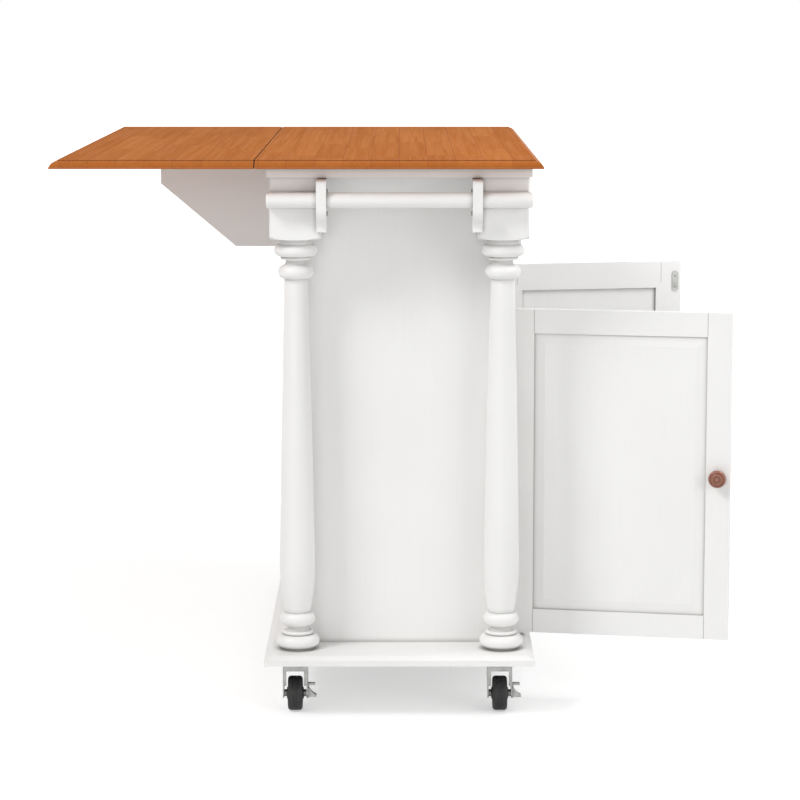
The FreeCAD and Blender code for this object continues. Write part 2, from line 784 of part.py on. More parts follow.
def door(side, end):
    """One door: two stiles, two rails, a raised panel in their rabbet, a knob and its
    hinge halves and strike plate.  Drawn shut about its pin, and hung open."""
    inward = -side
    inner = "door_gap - door_pin_out"
    outer = f"{inner} + door_thickness"
    lip = f"{inner} + door_lip_depth"
    near_edge = PIN_ASIDE
    far_edge = f"{PIN_ASIDE} + door_width"
    low = DOOR_BOTTOM
    high = f"{DOOR_BOTTOM} + door_height"
    both = "door_stile + door_lip"

    def board(label, x, y, z):
        return box(f"door_{end}_{label}", x, sided(inward, *y), z)

    stiles = []
    for name, first, last in (
        ("hinge", near_edge, f"{near_edge} + door_stile"),
        ("free", f"{far_edge} - door_stile", far_edge),
    ):
        body = board(f"{name}_stile_body", (inner, outer), (first, last), (low, high))
        lip_y = (last, f"{last} + door_lip") if name == "hinge" else (f"{first} - door_lip", first)
        ledge = board(f"{name}_stile_lip", (inner, lip), lip_y, (f"{low} + {both}", f"{high} - ({both})"))
        stiles.append(fuse(f"door_{end}_{name}_stile", body, ledge))
    node(hang(group(f"door_{end}_stiles", *stiles), side))
    rails = []
    span = (f"{near_edge} + door_stile", f"{far_edge} - door_stile")
    for name, first, last, step in (
        ("bottom", low, f"{low} + door_stile", (f"{low} + door_stile", f"{low} + {both}")),
        ("top", f"{high} - door_stile", high, (f"{high} - ({both})", f"{high} - door_stile")),
    ):
        body = board(f"{name}_rail_body", (inner, outer), span, (first, last))
        ledge = board(f"{name}_rail_lip", (inner, lip), span, step)
        rails.append(fuse(f"door_{end}_{name}_rail", body, ledge))
    node(hang(group(f"door_{end}_rails", *rails), side))

    panel_height = "door_height - 2 * door_stile"
    panel_width = "door_width - 2 * door_stile"
    opening = (f"{low} + door_stile", f"{high} - door_stile")
    back = board("panel_back", (lip, f"{lip} + panel_edge"), span, opening)
    raised = doc.addObject("Part::Wedge", f"door_{end}_panel_field")
    for prop, text in (
        ("Xmin", f"-({panel_width}) / 2"),
        ("Xmax", f"({panel_width}) / 2"),
        ("X2min", f"-({panel_width}) / 2 + panel_bevel"),
        ("X2max", f"({panel_width}) / 2 - panel_bevel"),
        ("Ymin", "0"),
        ("Ymax", "panel_rise"),
        ("Zmin", "0"),
        ("Zmax", panel_height),
        ("Z2min", "panel_bevel"),
        ("Z2max", f"{panel_height} - panel_bevel"),
    ):
        bind(raised, prop, text)
    middle = f"{inward} * ({PIN_ASIDE} + door_width / 2)"
    place(raised, f"{lip} + panel_edge", middle, f"{low} + door_stile", (0, 0, 1), "-90")
    node(hang(fuse(f"door_{end}_panel", back, raised), side))

    knob_y = f"{inward} * ({far_edge} - knob_from_edge)"
    node(hang(knob(f"door_{end}_knob"), side, outer, knob_y, f"{DOOR_BOTTOM} + door_height / 2"))

    steel = []
    plate = (f"{inner} - door_plate_thickness", inner)
    for name, hinge_low in DOOR_HINGES:
        half = hinge_half(
            f"door_{end}_hinge_{name}",
            "door_hinge_length",
            "door_plate_width",
            plate,
            "door_knuckle_radius",
            "door_pin_radius",
            side,
            False,
        )
        steel.append(place(half, "0", "0", hinge_low, (0, 0, 1), "-90"))
    strike_top = f"{high} - strike_below_top"
    strike_y = (f"{far_edge} - strike_from_edge - strike_width", f"{far_edge} - strike_from_edge")
    strike = board(
        "strike_bar",
        (f"{inner} - strike_thickness", inner),
        strike_y,
        (f"{strike_top} - strike_length + strike_width / 2", f"{strike_top} - strike_width / 2"),
    )
    centre_y = f"{inward} * ({far_edge} - strike_from_edge - strike_width / 2)"
    rounds = [
        cylinder(
            f"door_{end}_strike_round_{i}",
            "x",
            "strike_width / 2",
            "strike_thickness",
            f"{inner} - strike_thickness",
            centre_y,
            f"{strike_top} - strike_width / 2 - {i} * (strike_length - strike_width)",
        )
        for i in (0, 1)
    ]
    steel.append(fuse(f"door_{end}_strike", strike, *rounds))
    node(hang(group(f"door_{end}_hardware", *steel), side))


def knob(label):
    """A mushroom knob with two turned rings in its face; its stem starts at the origin."""
    return turned(
        label,
        "XY_Plane",
        [
            ("0", "0"),
            ("knob_projection - knob_hollow", "0"),
            ("knob_projection - knob_hollow", "knob_radius * 0.3", -0.4),
            ("knob_projection - 0.5", "knob_radius * 0.42", 0.15),
            ("knob_projection - knob_hollow", "knob_radius * 0.68"),
            ("knob_projection - knob_hollow - knob_ring_depth", "knob_radius * 0.74"),
            ("knob_projection - knob_hollow - knob_ring_depth", "knob_radius * 0.8", 0.3),
            ("knob_projection * 0.71", "knob_radius", 0.35),
            ("knob_projection * 0.52", "knob_radius * 0.9", -0.35),
            ("knob_foot_height", "knob_stem_radius"),
            ("0", "knob_stem_radius + knob_foot_flare"),
        ][::-1],
        "H_Axis",
    )


# ---------------------------------------------------------------- drawers


def drawer(side, end):
    """An overlay front on a box of five boards that rides on one middle rail."""
    front_low = f"{CABINET_SIDE} + drawer_front_gap"
    front_high = f"{front_low} + door_thickness"
    front_y = sided(side, "door_meeting_gap / 2", DOOR_EDGE)
    top = f"{DRAWER_BOTTOM} + drawer_front_height"
    node(box(f"drawer_{end}_front", (front_low, front_high), front_y, (DRAWER_BOTTOM, top)))

    low = f"{DRAWER_OPENING_BOTTOM} + rail_height + rail_clearance + channel_wall"
    high = f"{DRAWER_OPENING_TOP} - drawer_top_clearance"
    first = "mullion_width / 2 + drawer_side_clearance"
    last = f"{STILE_INNER} - drawer_side_clearance"
    back = f"{front_low} - drawer_depth"
    boards = []
    for name, y in (
        ("inner_side", (first, f"{first} + drawer_wall")),
        ("outer_side", (f"{last} - drawer_wall", last)),
    ):
        boards.append(box(f"drawer_{end}_{name}", (back, front_low), sided(side, *y), (low, high)))
    across = sided(side, f"{first} + drawer_wall", f"{last} - drawer_wall")
    for name, x in (
        ("box_front", (f"{front_low} - drawer_wall", front_low)),
        ("box_back", (back, f"{back} + drawer_wall")),
    ):
        boards.append(box(f"drawer_{end}_{name}", x, across, (low, high)))
    floor_x = (f"{back} + drawer_wall", f"{front_low} - drawer_wall")
    floor = box(f"drawer_{end}_floor", floor_x, across, (low, f"{low} + drawer_bottom_thickness"))
    middle = f"({first} + {last}) / 2"
    inner_half = "rail_width / 2 + rail_clearance"
    outer_half = f"{inner_half} + channel_wall"
    run = (f"{back} + drawer_wall", f"{front_low} - frame_thickness - drawer_wall")
    outer_channel = box(
        f"drawer_{end}_channel_outside",
        run,
        sided(side, f"{middle} - ({outer_half})", f"{middle} + {outer_half}"),
        (f"{DRAWER_OPENING_BOTTOM} + rail_clearance", low),
    )
    hollow = box(
        f"drawer_{end}_channel_hollow",
        run,
        sided(side, f"{middle} - ({inner_half})", f"{middle} + {inner_half}"),
        (f"{DRAWER_OPENING_BOTTOM} + rail_clearance", f"{low} - channel_wall"),
    )
    boards += [floor, cut(f"drawer_{end}_channel", outer_channel, hollow)]
    node(group(f"drawer_{end}_box", *boards))
    knob_y = f"{side} * (door_meeting_gap / 2 + door_width / 2)"
    handle = knob(f"drawer_{end}_knob")
    node(place(handle, front_high, knob_y, f"{DRAWER_BOTTOM} + drawer_front_height / 2"))
    rail_y = sided(side, f"{middle} - rail_width / 2", f"{middle} + rail_width / 2")
    rail_x = (f"-{CABINET_SIDE} + panel_thickness", FRAME_BACK)
    rail_z = (DRAWER_OPENING_BOTTOM, f"{DRAWER_OPENING_BOTTOM} + rail_height")
    return box(f"drawer_rail_{end}", rail_x, rail_y, rail_z)


# ---------------------------------------------------------------- towel bar


def towel_bar():
    """A round bar through two shaped brackets, each let in over a post's inner corner."""
    block_face = "post_along / 2 + block_side / 2"
    bar_y = f"-({block_face} + bar_out)"
    bar_z = f"{CAP_UNDER} - bar_below_cap"
    node(cylinder("towel_bar", "x", "bar_radius", "bar_length", "-bar_length / 2", bar_y, bar_z))
    high = f"{CAP_UNDER} - bracket_top"
    foot = f"{CAP_UNDER} - bracket_drop"
    front = f"-({block_face} + bracket_out)"
    rear = f"-({block_face})"
    side_profile = [
        (rear, foot),
        (rear, high),
        (f"{front} + bracket_round", high, 0.4142),
        (front, f"{high} - bracket_round"),
        (front, f"{foot} + bracket_waist_height", 0.35),
        (f"{front} + bracket_waist_in", f"{foot} + bracket_waist_foot", -0.3),
        (f"{rear} - bracket_toe_out", f"{foot} + bracket_toe_height"),
        (f"{rear} - bracket_toe_out", foot),
    ]
    corner = "post_across / 2 - block_side / 2"
    brackets = []
    screws = []
    for side, name in ((-1, "back"), (1, "front")):
        label = f"bracket_{name}"
        inner = f"{corner} - (bracket_width - bracket_lap)"
        cheek = padded(f"{label}_cheek", "YZ_Plane", side_profile, "bracket_width")
        place(cheek, inner if side > 0 else f"-({corner} + bracket_lap)")
        arm = box(
            f"{label}_arm",
            sided(side, inner, corner),
            (rear, f"{rear} + bracket_reach"),
            (foot, high),
        )
        through = "bar_radius + fit_clearance"
        start = f"-({corner} + 2 * bracket_width)" if side < 0 else f"{corner} - bracket_width"
        bore = cylinder(f"{label}_bore", "x", through, "3 * bracket_width", start, bar_y, bar_z)
        holes = []
        for i in (-1, 1):
            screw_y = f"{rear} + bracket_reach / 2"
            screw_z = f"({high} + {foot}) / 2 + bracket_screw_rise + {i} * screw_spacing / 2"
            thick = "bracket_width - bracket_lap"
            hole_x = inner if side > 0 else f"-({corner})"
            holes.append(
                cylinder(
                    f"{label}_hole_{i + 1}",
                    "x",
                    "screw_radius + fit_clearance",
                    thick,
                    hole_x,
                    screw_y,
                    screw_z,
                )
            )
            shank = cylinder(
                f"{label}_shank_{i + 1}", "x", "screw_radius", thick, hole_x, screw_y, screw_z
            )
            head_x = f"{inner} - screw_head_height" if side > 0 else f"-({inner})"
            head = cylinder(
                f"{label}_head_{i + 1}",
                "x",
                "screw_head_radius",
                "screw_head_height",
                head_x,
                screw_y,
                screw_z,
            )
            screws.append(fuse(f"{label}_screw_{i + 1}", shank, head))
        brackets.append(cut(label, fuse(f"{label}_solid", cheek, arm), bore, *holes))
    node(group("towel_brackets", *brackets))
    node(group("bracket_screws", *screws))


# ---------------------------------------------------------------- leaf and supports


def leaf_hinges():
    """Three hinges under the seam: one half of each on the worktop, one on the leaf."""
    fixed = []
    moving = []
    pin_z = f"{TOP_UNDER} - leaf_pin_drop"
    plate = ("leaf_pin_drop - leaf_plate_thickness", "leaf_pin_drop")
    for i in (-1, 0, 1):
        for inner, halves, name, side in ((True, fixed, "top", 1), (False, moving, "leaf", -1)):
            half = hinge_half(
                f"leaf_hinge_{name}_{i + 1}",
                "leaf_hinge_length",
                "leaf_plate_width",
                sided(-1, *plate),
                "leaf_knuckle_radius",
                "leaf_pin_radius",
                side,
                inner,
            )
            low_y = f"{i} * leaf_hinge_spacing - leaf_hinge_length / 2"
            halves.append(place(half, SEAM_X, low_y, pin_z, (1, 0, 0), "-90"))
    node(group("leaf_hinge_top_halves", *fixed))
    node(group("leaf_hinge_leaf_halves", *moving))


SUPPORT_TOP = f"{TOP_UNDER} - running_gap"
SUPPORT_PIN_X = f"-({CABINET_SIDE} + support_pin_out)"


def support_pin_y(side):
    """The pin is beside the face that folds against the cabinet's back."""
    return f"{side} * (support_spacing - support_thickness / 2 - support_pin_out)"


def support_hinge_lows():
    """The lower ends of a support's two hinges."""
    low = f"{SUPPORT_TOP} - support_height + support_hinge_inset"
    high = f"{SUPPORT_TOP} - support_hinge_inset - support_hinge_length"
    return (low, high)


def leaf_supports():
    """Two boards that swing out under the leaf, on hinges on the cabinet's back."""
    fixed = []
    for side, end in ((-1, "near"), (1, "far")):
        low = f"{SUPPORT_TOP} - support_height"
        root = f"-({CABINET_SIDE} + support_edge_gap)"
        tip = f"-({CABINET_SIDE} + support_reach)"
        board = padded(
            f"support_{end}",
            "XZ_Plane",
            [
                (root, low),
                (root, SUPPORT_TOP),
                (tip, SUPPORT_TOP),
                (tip, f"{SUPPORT_TOP} - support_tip_height"),
                (f"-({CABINET_SIDE} + support_foot)", low),
            ],
            "support_thickness",
        )
        outer_y = f"{side} * support_spacing + support_thickness / 2"
        node(place(board, "0", outer_y, "0"))
        moving = []
        for i, hinge_low in enumerate(support_hinge_lows()):
            knuckle = ("leaf_knuckle_radius", "leaf_pin_radius")
            plate_span = ("support_pin_out - support_plate_thickness", "support_pin_out")
            half = hinge_half(
                f"support_{end}_back_half_{i}",
                "support_hinge_length",
                "support_plate_width",
                sided(-1, *plate_span),
                *knuckle,
                side,
                True,
            )
            fixed.append(
                place(half, SUPPORT_PIN_X, support_pin_y(side), hinge_low, (0, 0, 1), "90")
            )
            half = hinge_half(
                f"support_{end}_board_half_{i}",
                "support_hinge_length",
                "support_plate_width",
                sided(side, *plate_span),
                *knuckle,
                -1,
                False,
            )
            moving.append(place(half, SUPPORT_PIN_X, support_pin_y(side), hinge_low))
        node(group(f"support_{end}_hinge_halves", *moving))
    node(group("support_hinge_back_halves", *fixed))


# ---------------------------------------------------------------- casters

FORK_CROWN = f"{FORK_TOP} - fork_wall"
FORK_SHOULDER = f"{FORK_TOP} - fork_shoulder_drop"
FORK_FLANGE_FOOT = f"{FORK_TOP} - fork_flange_drop"
AXLE_UP = "wheel_radius"
UPPER_PRONG = f"{AXLE_UP} + upper_prong_rise"
LOWER_PRONG = f"{AXLE_UP} - lower_prong_drop"


def caster(label, x, side):
    """A fork that swivels on the plate's kingpin, a wheel on its axle and a brake lever
    beside it.  The wheel trails towards the cart's end."""
    swivel_y = f"{side} * caster_along / 2"
    axle_y = f"{side} * caster_trail"
    half = "fork_width / 2"
    crown_y = ("-fork_crown / 2", "fork_crown / 2")
    crown = box(f"{label}_crown", (f"-{half}", half), crown_y, (FORK_CROWN, FORK_TOP))
    lips = [
        box(
            f"{label}_lip_{name}",
            (f"-{half}", half),
            sided(way, "fork_crown / 2 - fork_wall", "fork_crown / 2"),
            (f"{FORK_TOP} - fork_lip", FORK_TOP),
        )
        for way, name in ((side, "outer"), (-side, "inner"))
    ]
    flanges = [
        box(
            f"{label}_flange_{name}",
            sided(way, f"{half} - fork_flange", half),
            sided(side, "fork_crown / 2 - fork_wall", "fork_crown / 2"),
            (FORK_FLANGE_FOOT, FORK_TOP),
        )
        for way, name in ((-1, "left"), (1, "right"))
    ]
    cheek_outline = [
        ("-fork_crown / 2", FORK_TOP),
        ("-fork_crown / 2", FORK_SHOULDER),
        (f"{axle_y} - fork_end_radius", AXLE_UP, 0.85),
        (f"{axle_y} + fork_end_radius", AXLE_UP),
        ("fork_crown / 2", FORK_SHOULDER),
        ("fork_crown / 2", FORK_TOP),
    ]
    cheeks = [
        place(padded(f"{label}_cheek_{name}", "YZ_Plane", cheek_outline, "fork_wall"), start)
        for name, start in (("left", f"-{half}"), ("right", f"{half} - fork_wall"))
    ]
    axle = cylinder(f"{label}_axle", "x", "axle_radius", "fork_width", f"-{half}", axle_y, AXLE_UP)
    sleeve_length = f"{half} - fork_wall - hub_width / 2 - running_gap"
    sleeve_radius = "axle_radius + sleeve_wall"
    sleeves = [
        cylinder(f"{label}_sleeve_{name}", "x", sleeve_radius, sleeve_length, start, axle_y, AXLE_UP)
        for name, start in (
            ("left", f"-({half} - fork_wall)"),
            ("right", "hub_width / 2 + running_gap"),
        )
    ]
    solid = fuse(f"{label}_fork_solid", crown, *lips, *flanges, *cheeks, axle, *sleeves)
    bore = "kingpin_radius + fit_clearance"
    hole = cylinder(f"{label}_fork_hole", "z", bore, "fork_wall", "0", "0", FORK_CROWN)
    node(place(cut(f"{label}_fork", solid, hole), x, swivel_y))

    rim = "wheel_radius - wheel_round"
    flank = "wheel_width / 2"
    hub = "hub_width / 2"
    bore_radius = "axle_radius + fit_clearance"
    wheel = turned(
        f"{label}_wheel",
        "XY_Plane",
        [
            (f"-{hub}", bore_radius),
            (hub, bore_radius),
            (hub, "hub_radius - hub_slope"),
            (flank, "hub_radius + hub_slope"),
            (flank, rim, 0.38),
            (f"{flank} - wheel_round", "wheel_radius"),
            (f"-{flank} + wheel_round", "wheel_radius", 0.38),
            (f"-{flank}", rim),
            (f"-{flank}", "hub_radius + hub_slope"),
            (f"-{hub}", "hub_radius - hub_slope"),
        ],
        "H_Axis",
    )
    node(place(wheel, x, f"{swivel_y} + {axle_y}", AXLE_UP))

    inside = f"{half} + running_gap"
    outside = f"{inside} + lever_thickness"
    disc = cylinder(f"{label}_lever_hub", "x", "lever_hub_radius", "lever_thickness", inside, "0", AXLE_UP)
    upper_y = ("-upper_prong_width / 2", "upper_prong_width / 2")
    upper_top = f"{UPPER_PRONG} + prong_thickness / 2"
    web = box(f"{label}_lever_web", (inside, outside), upper_y, (AXLE_UP, upper_top))
    upper = box(
        f"{label}_upper_prong",
        (inside, "lever_reach - upper_prong_short"),
        upper_y,
        (f"{UPPER_PRONG} - prong_thickness / 2", upper_top),
    )
    lower = padded(
        f"{label}_lower_prong",
        "XZ_Plane",
        [
            (inside, f"{LOWER_PRONG} - prong_thickness"),
            ("lever_reach", f"{LOWER_PRONG} - prong_thickness"),
            ("lever_reach", LOWER_PRONG, -0.2),
            (outside, f"{LOWER_PRONG} + lower_prong_web"),
            (inside, f"{LOWER_PRONG} + lower_prong_web"),
        ],
        "lower_prong_width",
    )
    place(lower, "0", "lower_prong_width / 2", "0")
    lever = fuse(f"{label}_lever", disc, web, upper, lower)
    node(place(lever, x, f"{swivel_y} + {axle_y}"))


def casters():
    """Four casters and, on the cart, their plates with kingpins and screws."""
    plates = []
    screws = []
    for side, end in ((-1, "near"), (1, "far")):
        for across, name in ((1, "front"), (-1, "back")):
            x = f"{across} * caster_across / 2 - caster_aside"
            label = f"caster_{end}_{name}"
            caster(label, x, side)
            y = f"{side} * caster_along / 2"
            half = ("-plate_side / 2", "plate_side / 2")
            plate_z = (f"{CASTER_TOP} - plate_thickness", CASTER_TOP)
            plate = box(f"{label}_plate", half, half, plate_z)
            race = cylinder(
                f"{label}_raceway",
                "z",
                "raceway_radius",
                "raceway_height",
                "0",
                "0",
                f"{FORK_TOP} + running_gap",
            )
            foot = f"{FORK_CROWN} - running_gap"
            pin_low = f"{foot} - kingpin_head_height"
            pin_length = f"{CASTER_TOP} - plate_thickness - ({pin_low})"
            pin = cylinder(f"{label}_kingpin", "z", "kingpin_radius", pin_length, "0", "0", pin_low)
            head = cylinder(
                f"{label}_kingpin_head",
                "z",
                "kingpin_head_radius",
                "kingpin_head_height",
                "0",
                "0",
                pin_low,
            )
            holes = []
            spots = [(i, j) for i in (-1, 1) for j in (-1, 1)]
            for i, j in spots:
                hole_x = f"{i} * plate_hole_spacing / 2"
                hole_y = f"{j} * plate_hole_spacing / 2"
                low = f"{CASTER_TOP} - plate_thickness"
                tag = f"{label}_{'near' if j < 0 else 'far'}_{'back' if i < 0 else 'front'}"
                thick = "plate_thickness"
                hole_radius = "plate_hole_radius"
                holes.append(cylinder(f"{tag}_hole", "z", hole_radius, thick, hole_x, hole_y, low))
                spot = (f"{x} + {hole_x}", f"{y} + {hole_y}")
                radius = "plate_hole_radius - fit_clearance"
                shank = cylinder(f"{tag}_shank", "z", radius, thick, *spot, low)
                cap_low = f"{low} - plate_screw_head_height"
                cap = cylinder(
                    f"{tag}_cap", "z", "plate_screw_head_radius", "plate_screw_head_height", *spot, cap_low
                )
                screws.append(fuse(f"{tag}_screw", shank, cap))
            body = fuse(f"{label}_plate_body", plate, race, pin, head)
            plates.append(place(cut(f"{label}_top_plate", body, *holes), x, y))
    node(group("caster_plates", *plates))
    node(group("caster_screws", *screws))


def door_catches():
    """Two magnetic catches behind the middle rail, one for each door's strike plate."""
    catches = []
    for side, end in ((-1, "near"), (1, "far")):
        centre = "door_meeting_gap / 2 + strike_from_edge + strike_width / 2"
        top = f"{DOOR_BOTTOM} + door_height - strike_below_top"
        catches.append(
            box(
                f"catch_{end}",
                (f"{FRAME_BACK} - catch_reach", f"{CABINET_SIDE} - strike_thickness - running_gap"),
                sided(side, f"{centre} - strike_width / 2", f"{centre} + strike_width / 2"),
                (f"{top} - strike_length", f"{DOOR_BOTTOM} + door_height - door_overlay"),
            )
        )
    return catches


# ---------------------------------------------------------------- assembly

base_board()
cabinet()
face_frame()
shelf()
posts()
worktop_and_leaf()
leaf_hinges()
leaf_supports()
door_hinges()
door(-1, "near")
door(1, "far")
node(group("drawer_rails", drawer(-1, "near"), drawer(1, "far")))
node(group("door_catches", *door_catches()))
towel_bar()
casters()

doc.recompute()

for piece in doc.Objects:
    if "Invalid" in piece.State or "Error" in piece.State:
        raise RuntimeError(f"{piece.Label} failed: {piece.State}")
labels = [piece.Label for piece in NODES]
if len(set(labels)) != len(labels) or len(labels) > 60:
    raise RuntimeError(f"{len(labels)} sub-parts, or a name used twice")
for piece in NODES:
    if piece.Shape.isNull() or not piece.Shape.isValid():
        raise RuntimeError(f"{piece.Label} has no valid shape")

os.makedirs("parts", exist_ok=True)
for piece in NODES:
    piece.Shape.exportStep(f"parts/{piece.Label}.step")
    solids = piece.Shape.Solids
    print(piece.Label, len(solids), round(sum(solid.Volume for solid in solids) / 1000, 2), "cm3")
print(len(NODES), "sub-parts")
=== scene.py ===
"""The looks of the kitchen island cart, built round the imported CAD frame.  Metres, +Z up."""

import json
import math

import bmesh
import bpy
from mathutils import Matrix, Vector


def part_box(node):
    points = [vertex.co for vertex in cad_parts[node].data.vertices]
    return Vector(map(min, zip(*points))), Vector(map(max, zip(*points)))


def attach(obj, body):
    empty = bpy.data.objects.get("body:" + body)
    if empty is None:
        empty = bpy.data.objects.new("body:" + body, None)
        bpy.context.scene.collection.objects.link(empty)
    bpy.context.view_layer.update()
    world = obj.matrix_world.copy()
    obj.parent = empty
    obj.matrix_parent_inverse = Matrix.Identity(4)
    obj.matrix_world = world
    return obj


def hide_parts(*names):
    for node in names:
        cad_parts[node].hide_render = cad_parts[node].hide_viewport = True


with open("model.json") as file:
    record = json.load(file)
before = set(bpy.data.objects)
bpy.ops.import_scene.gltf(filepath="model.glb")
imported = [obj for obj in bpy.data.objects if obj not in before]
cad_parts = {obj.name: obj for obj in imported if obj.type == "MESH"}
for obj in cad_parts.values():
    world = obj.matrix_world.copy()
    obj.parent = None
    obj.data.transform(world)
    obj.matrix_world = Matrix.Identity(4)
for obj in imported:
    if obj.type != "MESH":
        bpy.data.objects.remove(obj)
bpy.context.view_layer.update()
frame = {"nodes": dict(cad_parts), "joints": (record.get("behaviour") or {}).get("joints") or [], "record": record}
NODES = frame["nodes"]

MM = 0.001
CORNERS = [(end, side) for end in ("near", "far") for side in ("front", "back")]

# ---------------------------------------------------------------- node helpers


class Shader:
    """A material's node tree, with short calls for the nodes used here."""

    def __init__(self, name):
        self.material = bpy.data.materials.new(name)
        self.material.use_nodes = True
        self.tree = self.material.node_tree
        self.surface = self.tree.nodes["Principled BSDF"]
        self.where = self.node("ShaderNodeTexCoord").outputs["Object"]

    def node(self, kind, **settings):
        made = self.tree.nodes.new(kind)
        for key, setting in settings.items():
            setattr(made, key, setting)
        return made

    def set(self, socket, source):
        """Links a socket, or gives it a constant."""
        if isinstance(source, bpy.types.NodeSocket):
            self.tree.links.new(source, socket)
        else:
            socket.default_value = source

    def math(self, operation, first, second=0.0, third=0.0):
        made = self.node("ShaderNodeMath", operation=operation)
        for socket, source in zip(made.inputs, (first, second, third)):
            self.set(socket, source)
        return made.outputs[0]

    def stretched(self, scale, where=None):
        """The object's coordinates, scaled apart along each axis."""
        made = self.node("ShaderNodeMapping")
        self.set(made.inputs["Vector"], where or self.where)
        made.inputs["Scale"].default_value = scale
        return made.outputs["Vector"]

    def noise(self, vector, scale, detail=3.0, roughness=0.5, distortion=0.0):
        made = self.node("ShaderNodeTexNoise")
        self.set(made.inputs["Vector"], vector)
        made.inputs["Scale"].default_value = scale
        made.inputs["Detail"].default_value = detail
        made.inputs["Roughness"].default_value = roughness
        made.inputs["Distortion"].default_value = distortion
        return made.outputs["Fac"]

    def ramp(self, source, low, high, to_low=0.0, to_high=1.0):
        made = self.node("ShaderNodeMapRange", clamp=True)
        for key, item in zip(("Value", "From Min", "From Max", "To Min", "To Max"),
                             (source, low, high, to_low, to_high)):
            self.set(made.inputs[key], item)
        return made.outputs[0]

    def mix(self, factor, first, second, blend="MIX"):
        made = self.node("ShaderNodeMix", data_type="RGBA", blend_type=blend)
        self.set(made.inputs["Factor"], factor)
        for socket, source in ((made.inputs[6], first), (made.inputs[7], second)):
            if isinstance(source, tuple):
                source = (*source[:3], 1.0)
            self.set(socket, source)
        return made.outputs[2]

    def bump(self, heights):
        """Bumps one over the other: (height, depth in metres, strength)."""
        normal = None
        for height, depth, strength in heights:
            made = self.node("ShaderNodeBump")
            made.inputs["Distance"].default_value = depth
            made.inputs["Strength"].default_value = strength
            self.set(made.inputs["Height"], height)
            if normal is not None:
                self.set(made.inputs["Normal"], normal)
            normal = made.outputs["Normal"]
        self.set(self.surface.inputs["Normal"], normal)

    def painted_crease_shade(self, reach, darkest):
        """Painted shade mask: 1 on open surfaces, falling to darkest in corners narrower than reach."""
        made = self.node("ShaderNodeAmbientOcclusion", samples=6)
        made.inputs["Distance"].default_value = reach
        return self.ramp(made.outputs["AO"], 0.25, 0.95, darkest, 1.0)

    def edges(self, radius):
        """1 along sharp edges, 0 on flat surfaces."""
        rounded = self.node("ShaderNodeBevel", samples=4)
        rounded.inputs["Radius"].default_value = radius
        flat = self.node("ShaderNodeNewGeometry")
        dot = self.node("ShaderNodeVectorMath", operation="DOT_PRODUCT")
        self.set(dot.inputs[0], rounded.outputs["Normal"])
        self.set(dot.inputs[1], flat.outputs["Normal"])
        return self.ramp(dot.outputs["Value"], 0.995, 0.86)

    def finish(self, colour, roughness):
        self.set(self.surface.inputs["Base Color"], colour)
        self.set(self.surface.inputs["Roughness"], roughness)
        return self.material


# ---------------------------------------------------------------- materials

GRAIN_STRETCH = {"x": (1.2, 26.0, 26.0), "y": (26.0, 1.2, 26.0), "z": (26.0, 26.0, 1.2)}


def white_paint(grain):
    """Satin white paint over wood whose grain runs along one axis and shows faintly."""
    shader = Shader(f"white_paint_{grain}")
    along = shader.stretched(GRAIN_STRETCH[grain])
    grain_lines = shader.noise(along, 9.0, detail=5.0, roughness=0.62, distortion=0.25)
    clouds = shader.noise(shader.where, 5.0, detail=2.0)
    roller = shader.noise(shader.where, 950.0, detail=2.0)
    brush = shader.noise(shader.stretched([n * 14.0 for n in GRAIN_STRETCH[grain]]), 6.0, detail=2.0)
    tone = shader.mix(shader.ramp(clouds, 0.3, 0.7), (0.845, 0.840, 0.828), (0.875, 0.871, 0.860))
    tone = shader.mix(shader.ramp(grain_lines, 0.56, 0.74, 0.0, 0.14), tone, (0.74, 0.735, 0.725))
    # painted highlight: lighter paint along sharp edges; the same mask also lowers the roughness there
    edge_highlight = shader.edges(1.4 * MM)
    tone = shader.mix(shader.math("MULTIPLY", edge_highlight, 0.35), tone, (0.91, 0.908, 0.90))
    # painted shade: the paint darkens towards grey in corners and creases
    corner_shade = shader.painted_crease_shade(9 * MM, 0.0)
    tone = shader.mix(corner_shade, (0.38, 0.37, 0.355), tone)
    gloss = shader.ramp(clouds, 0.3, 0.7, 0.34, 0.42)
    gloss = shader.math("ADD", gloss, shader.ramp(grain_lines, 0.45, 0.75, 0.0, 0.10))
    gloss = shader.math("SUBTRACT", gloss, shader.math("MULTIPLY", edge_highlight, 0.08))
    shader.bump([(roller, 0.04 * MM, 0.5), (brush, 0.05 * MM, 0.35), (grain_lines, 0.12 * MM, 0.5)])
    shader.surface.inputs["Coat Weight"].default_value = 0.12
    shader.surface.inputs["Coat Roughness"].default_value = 0.28
    return shader.finish(tone, gloss)


STAVE = 45 * MM
STAVE_LENGTH = 420 * MM


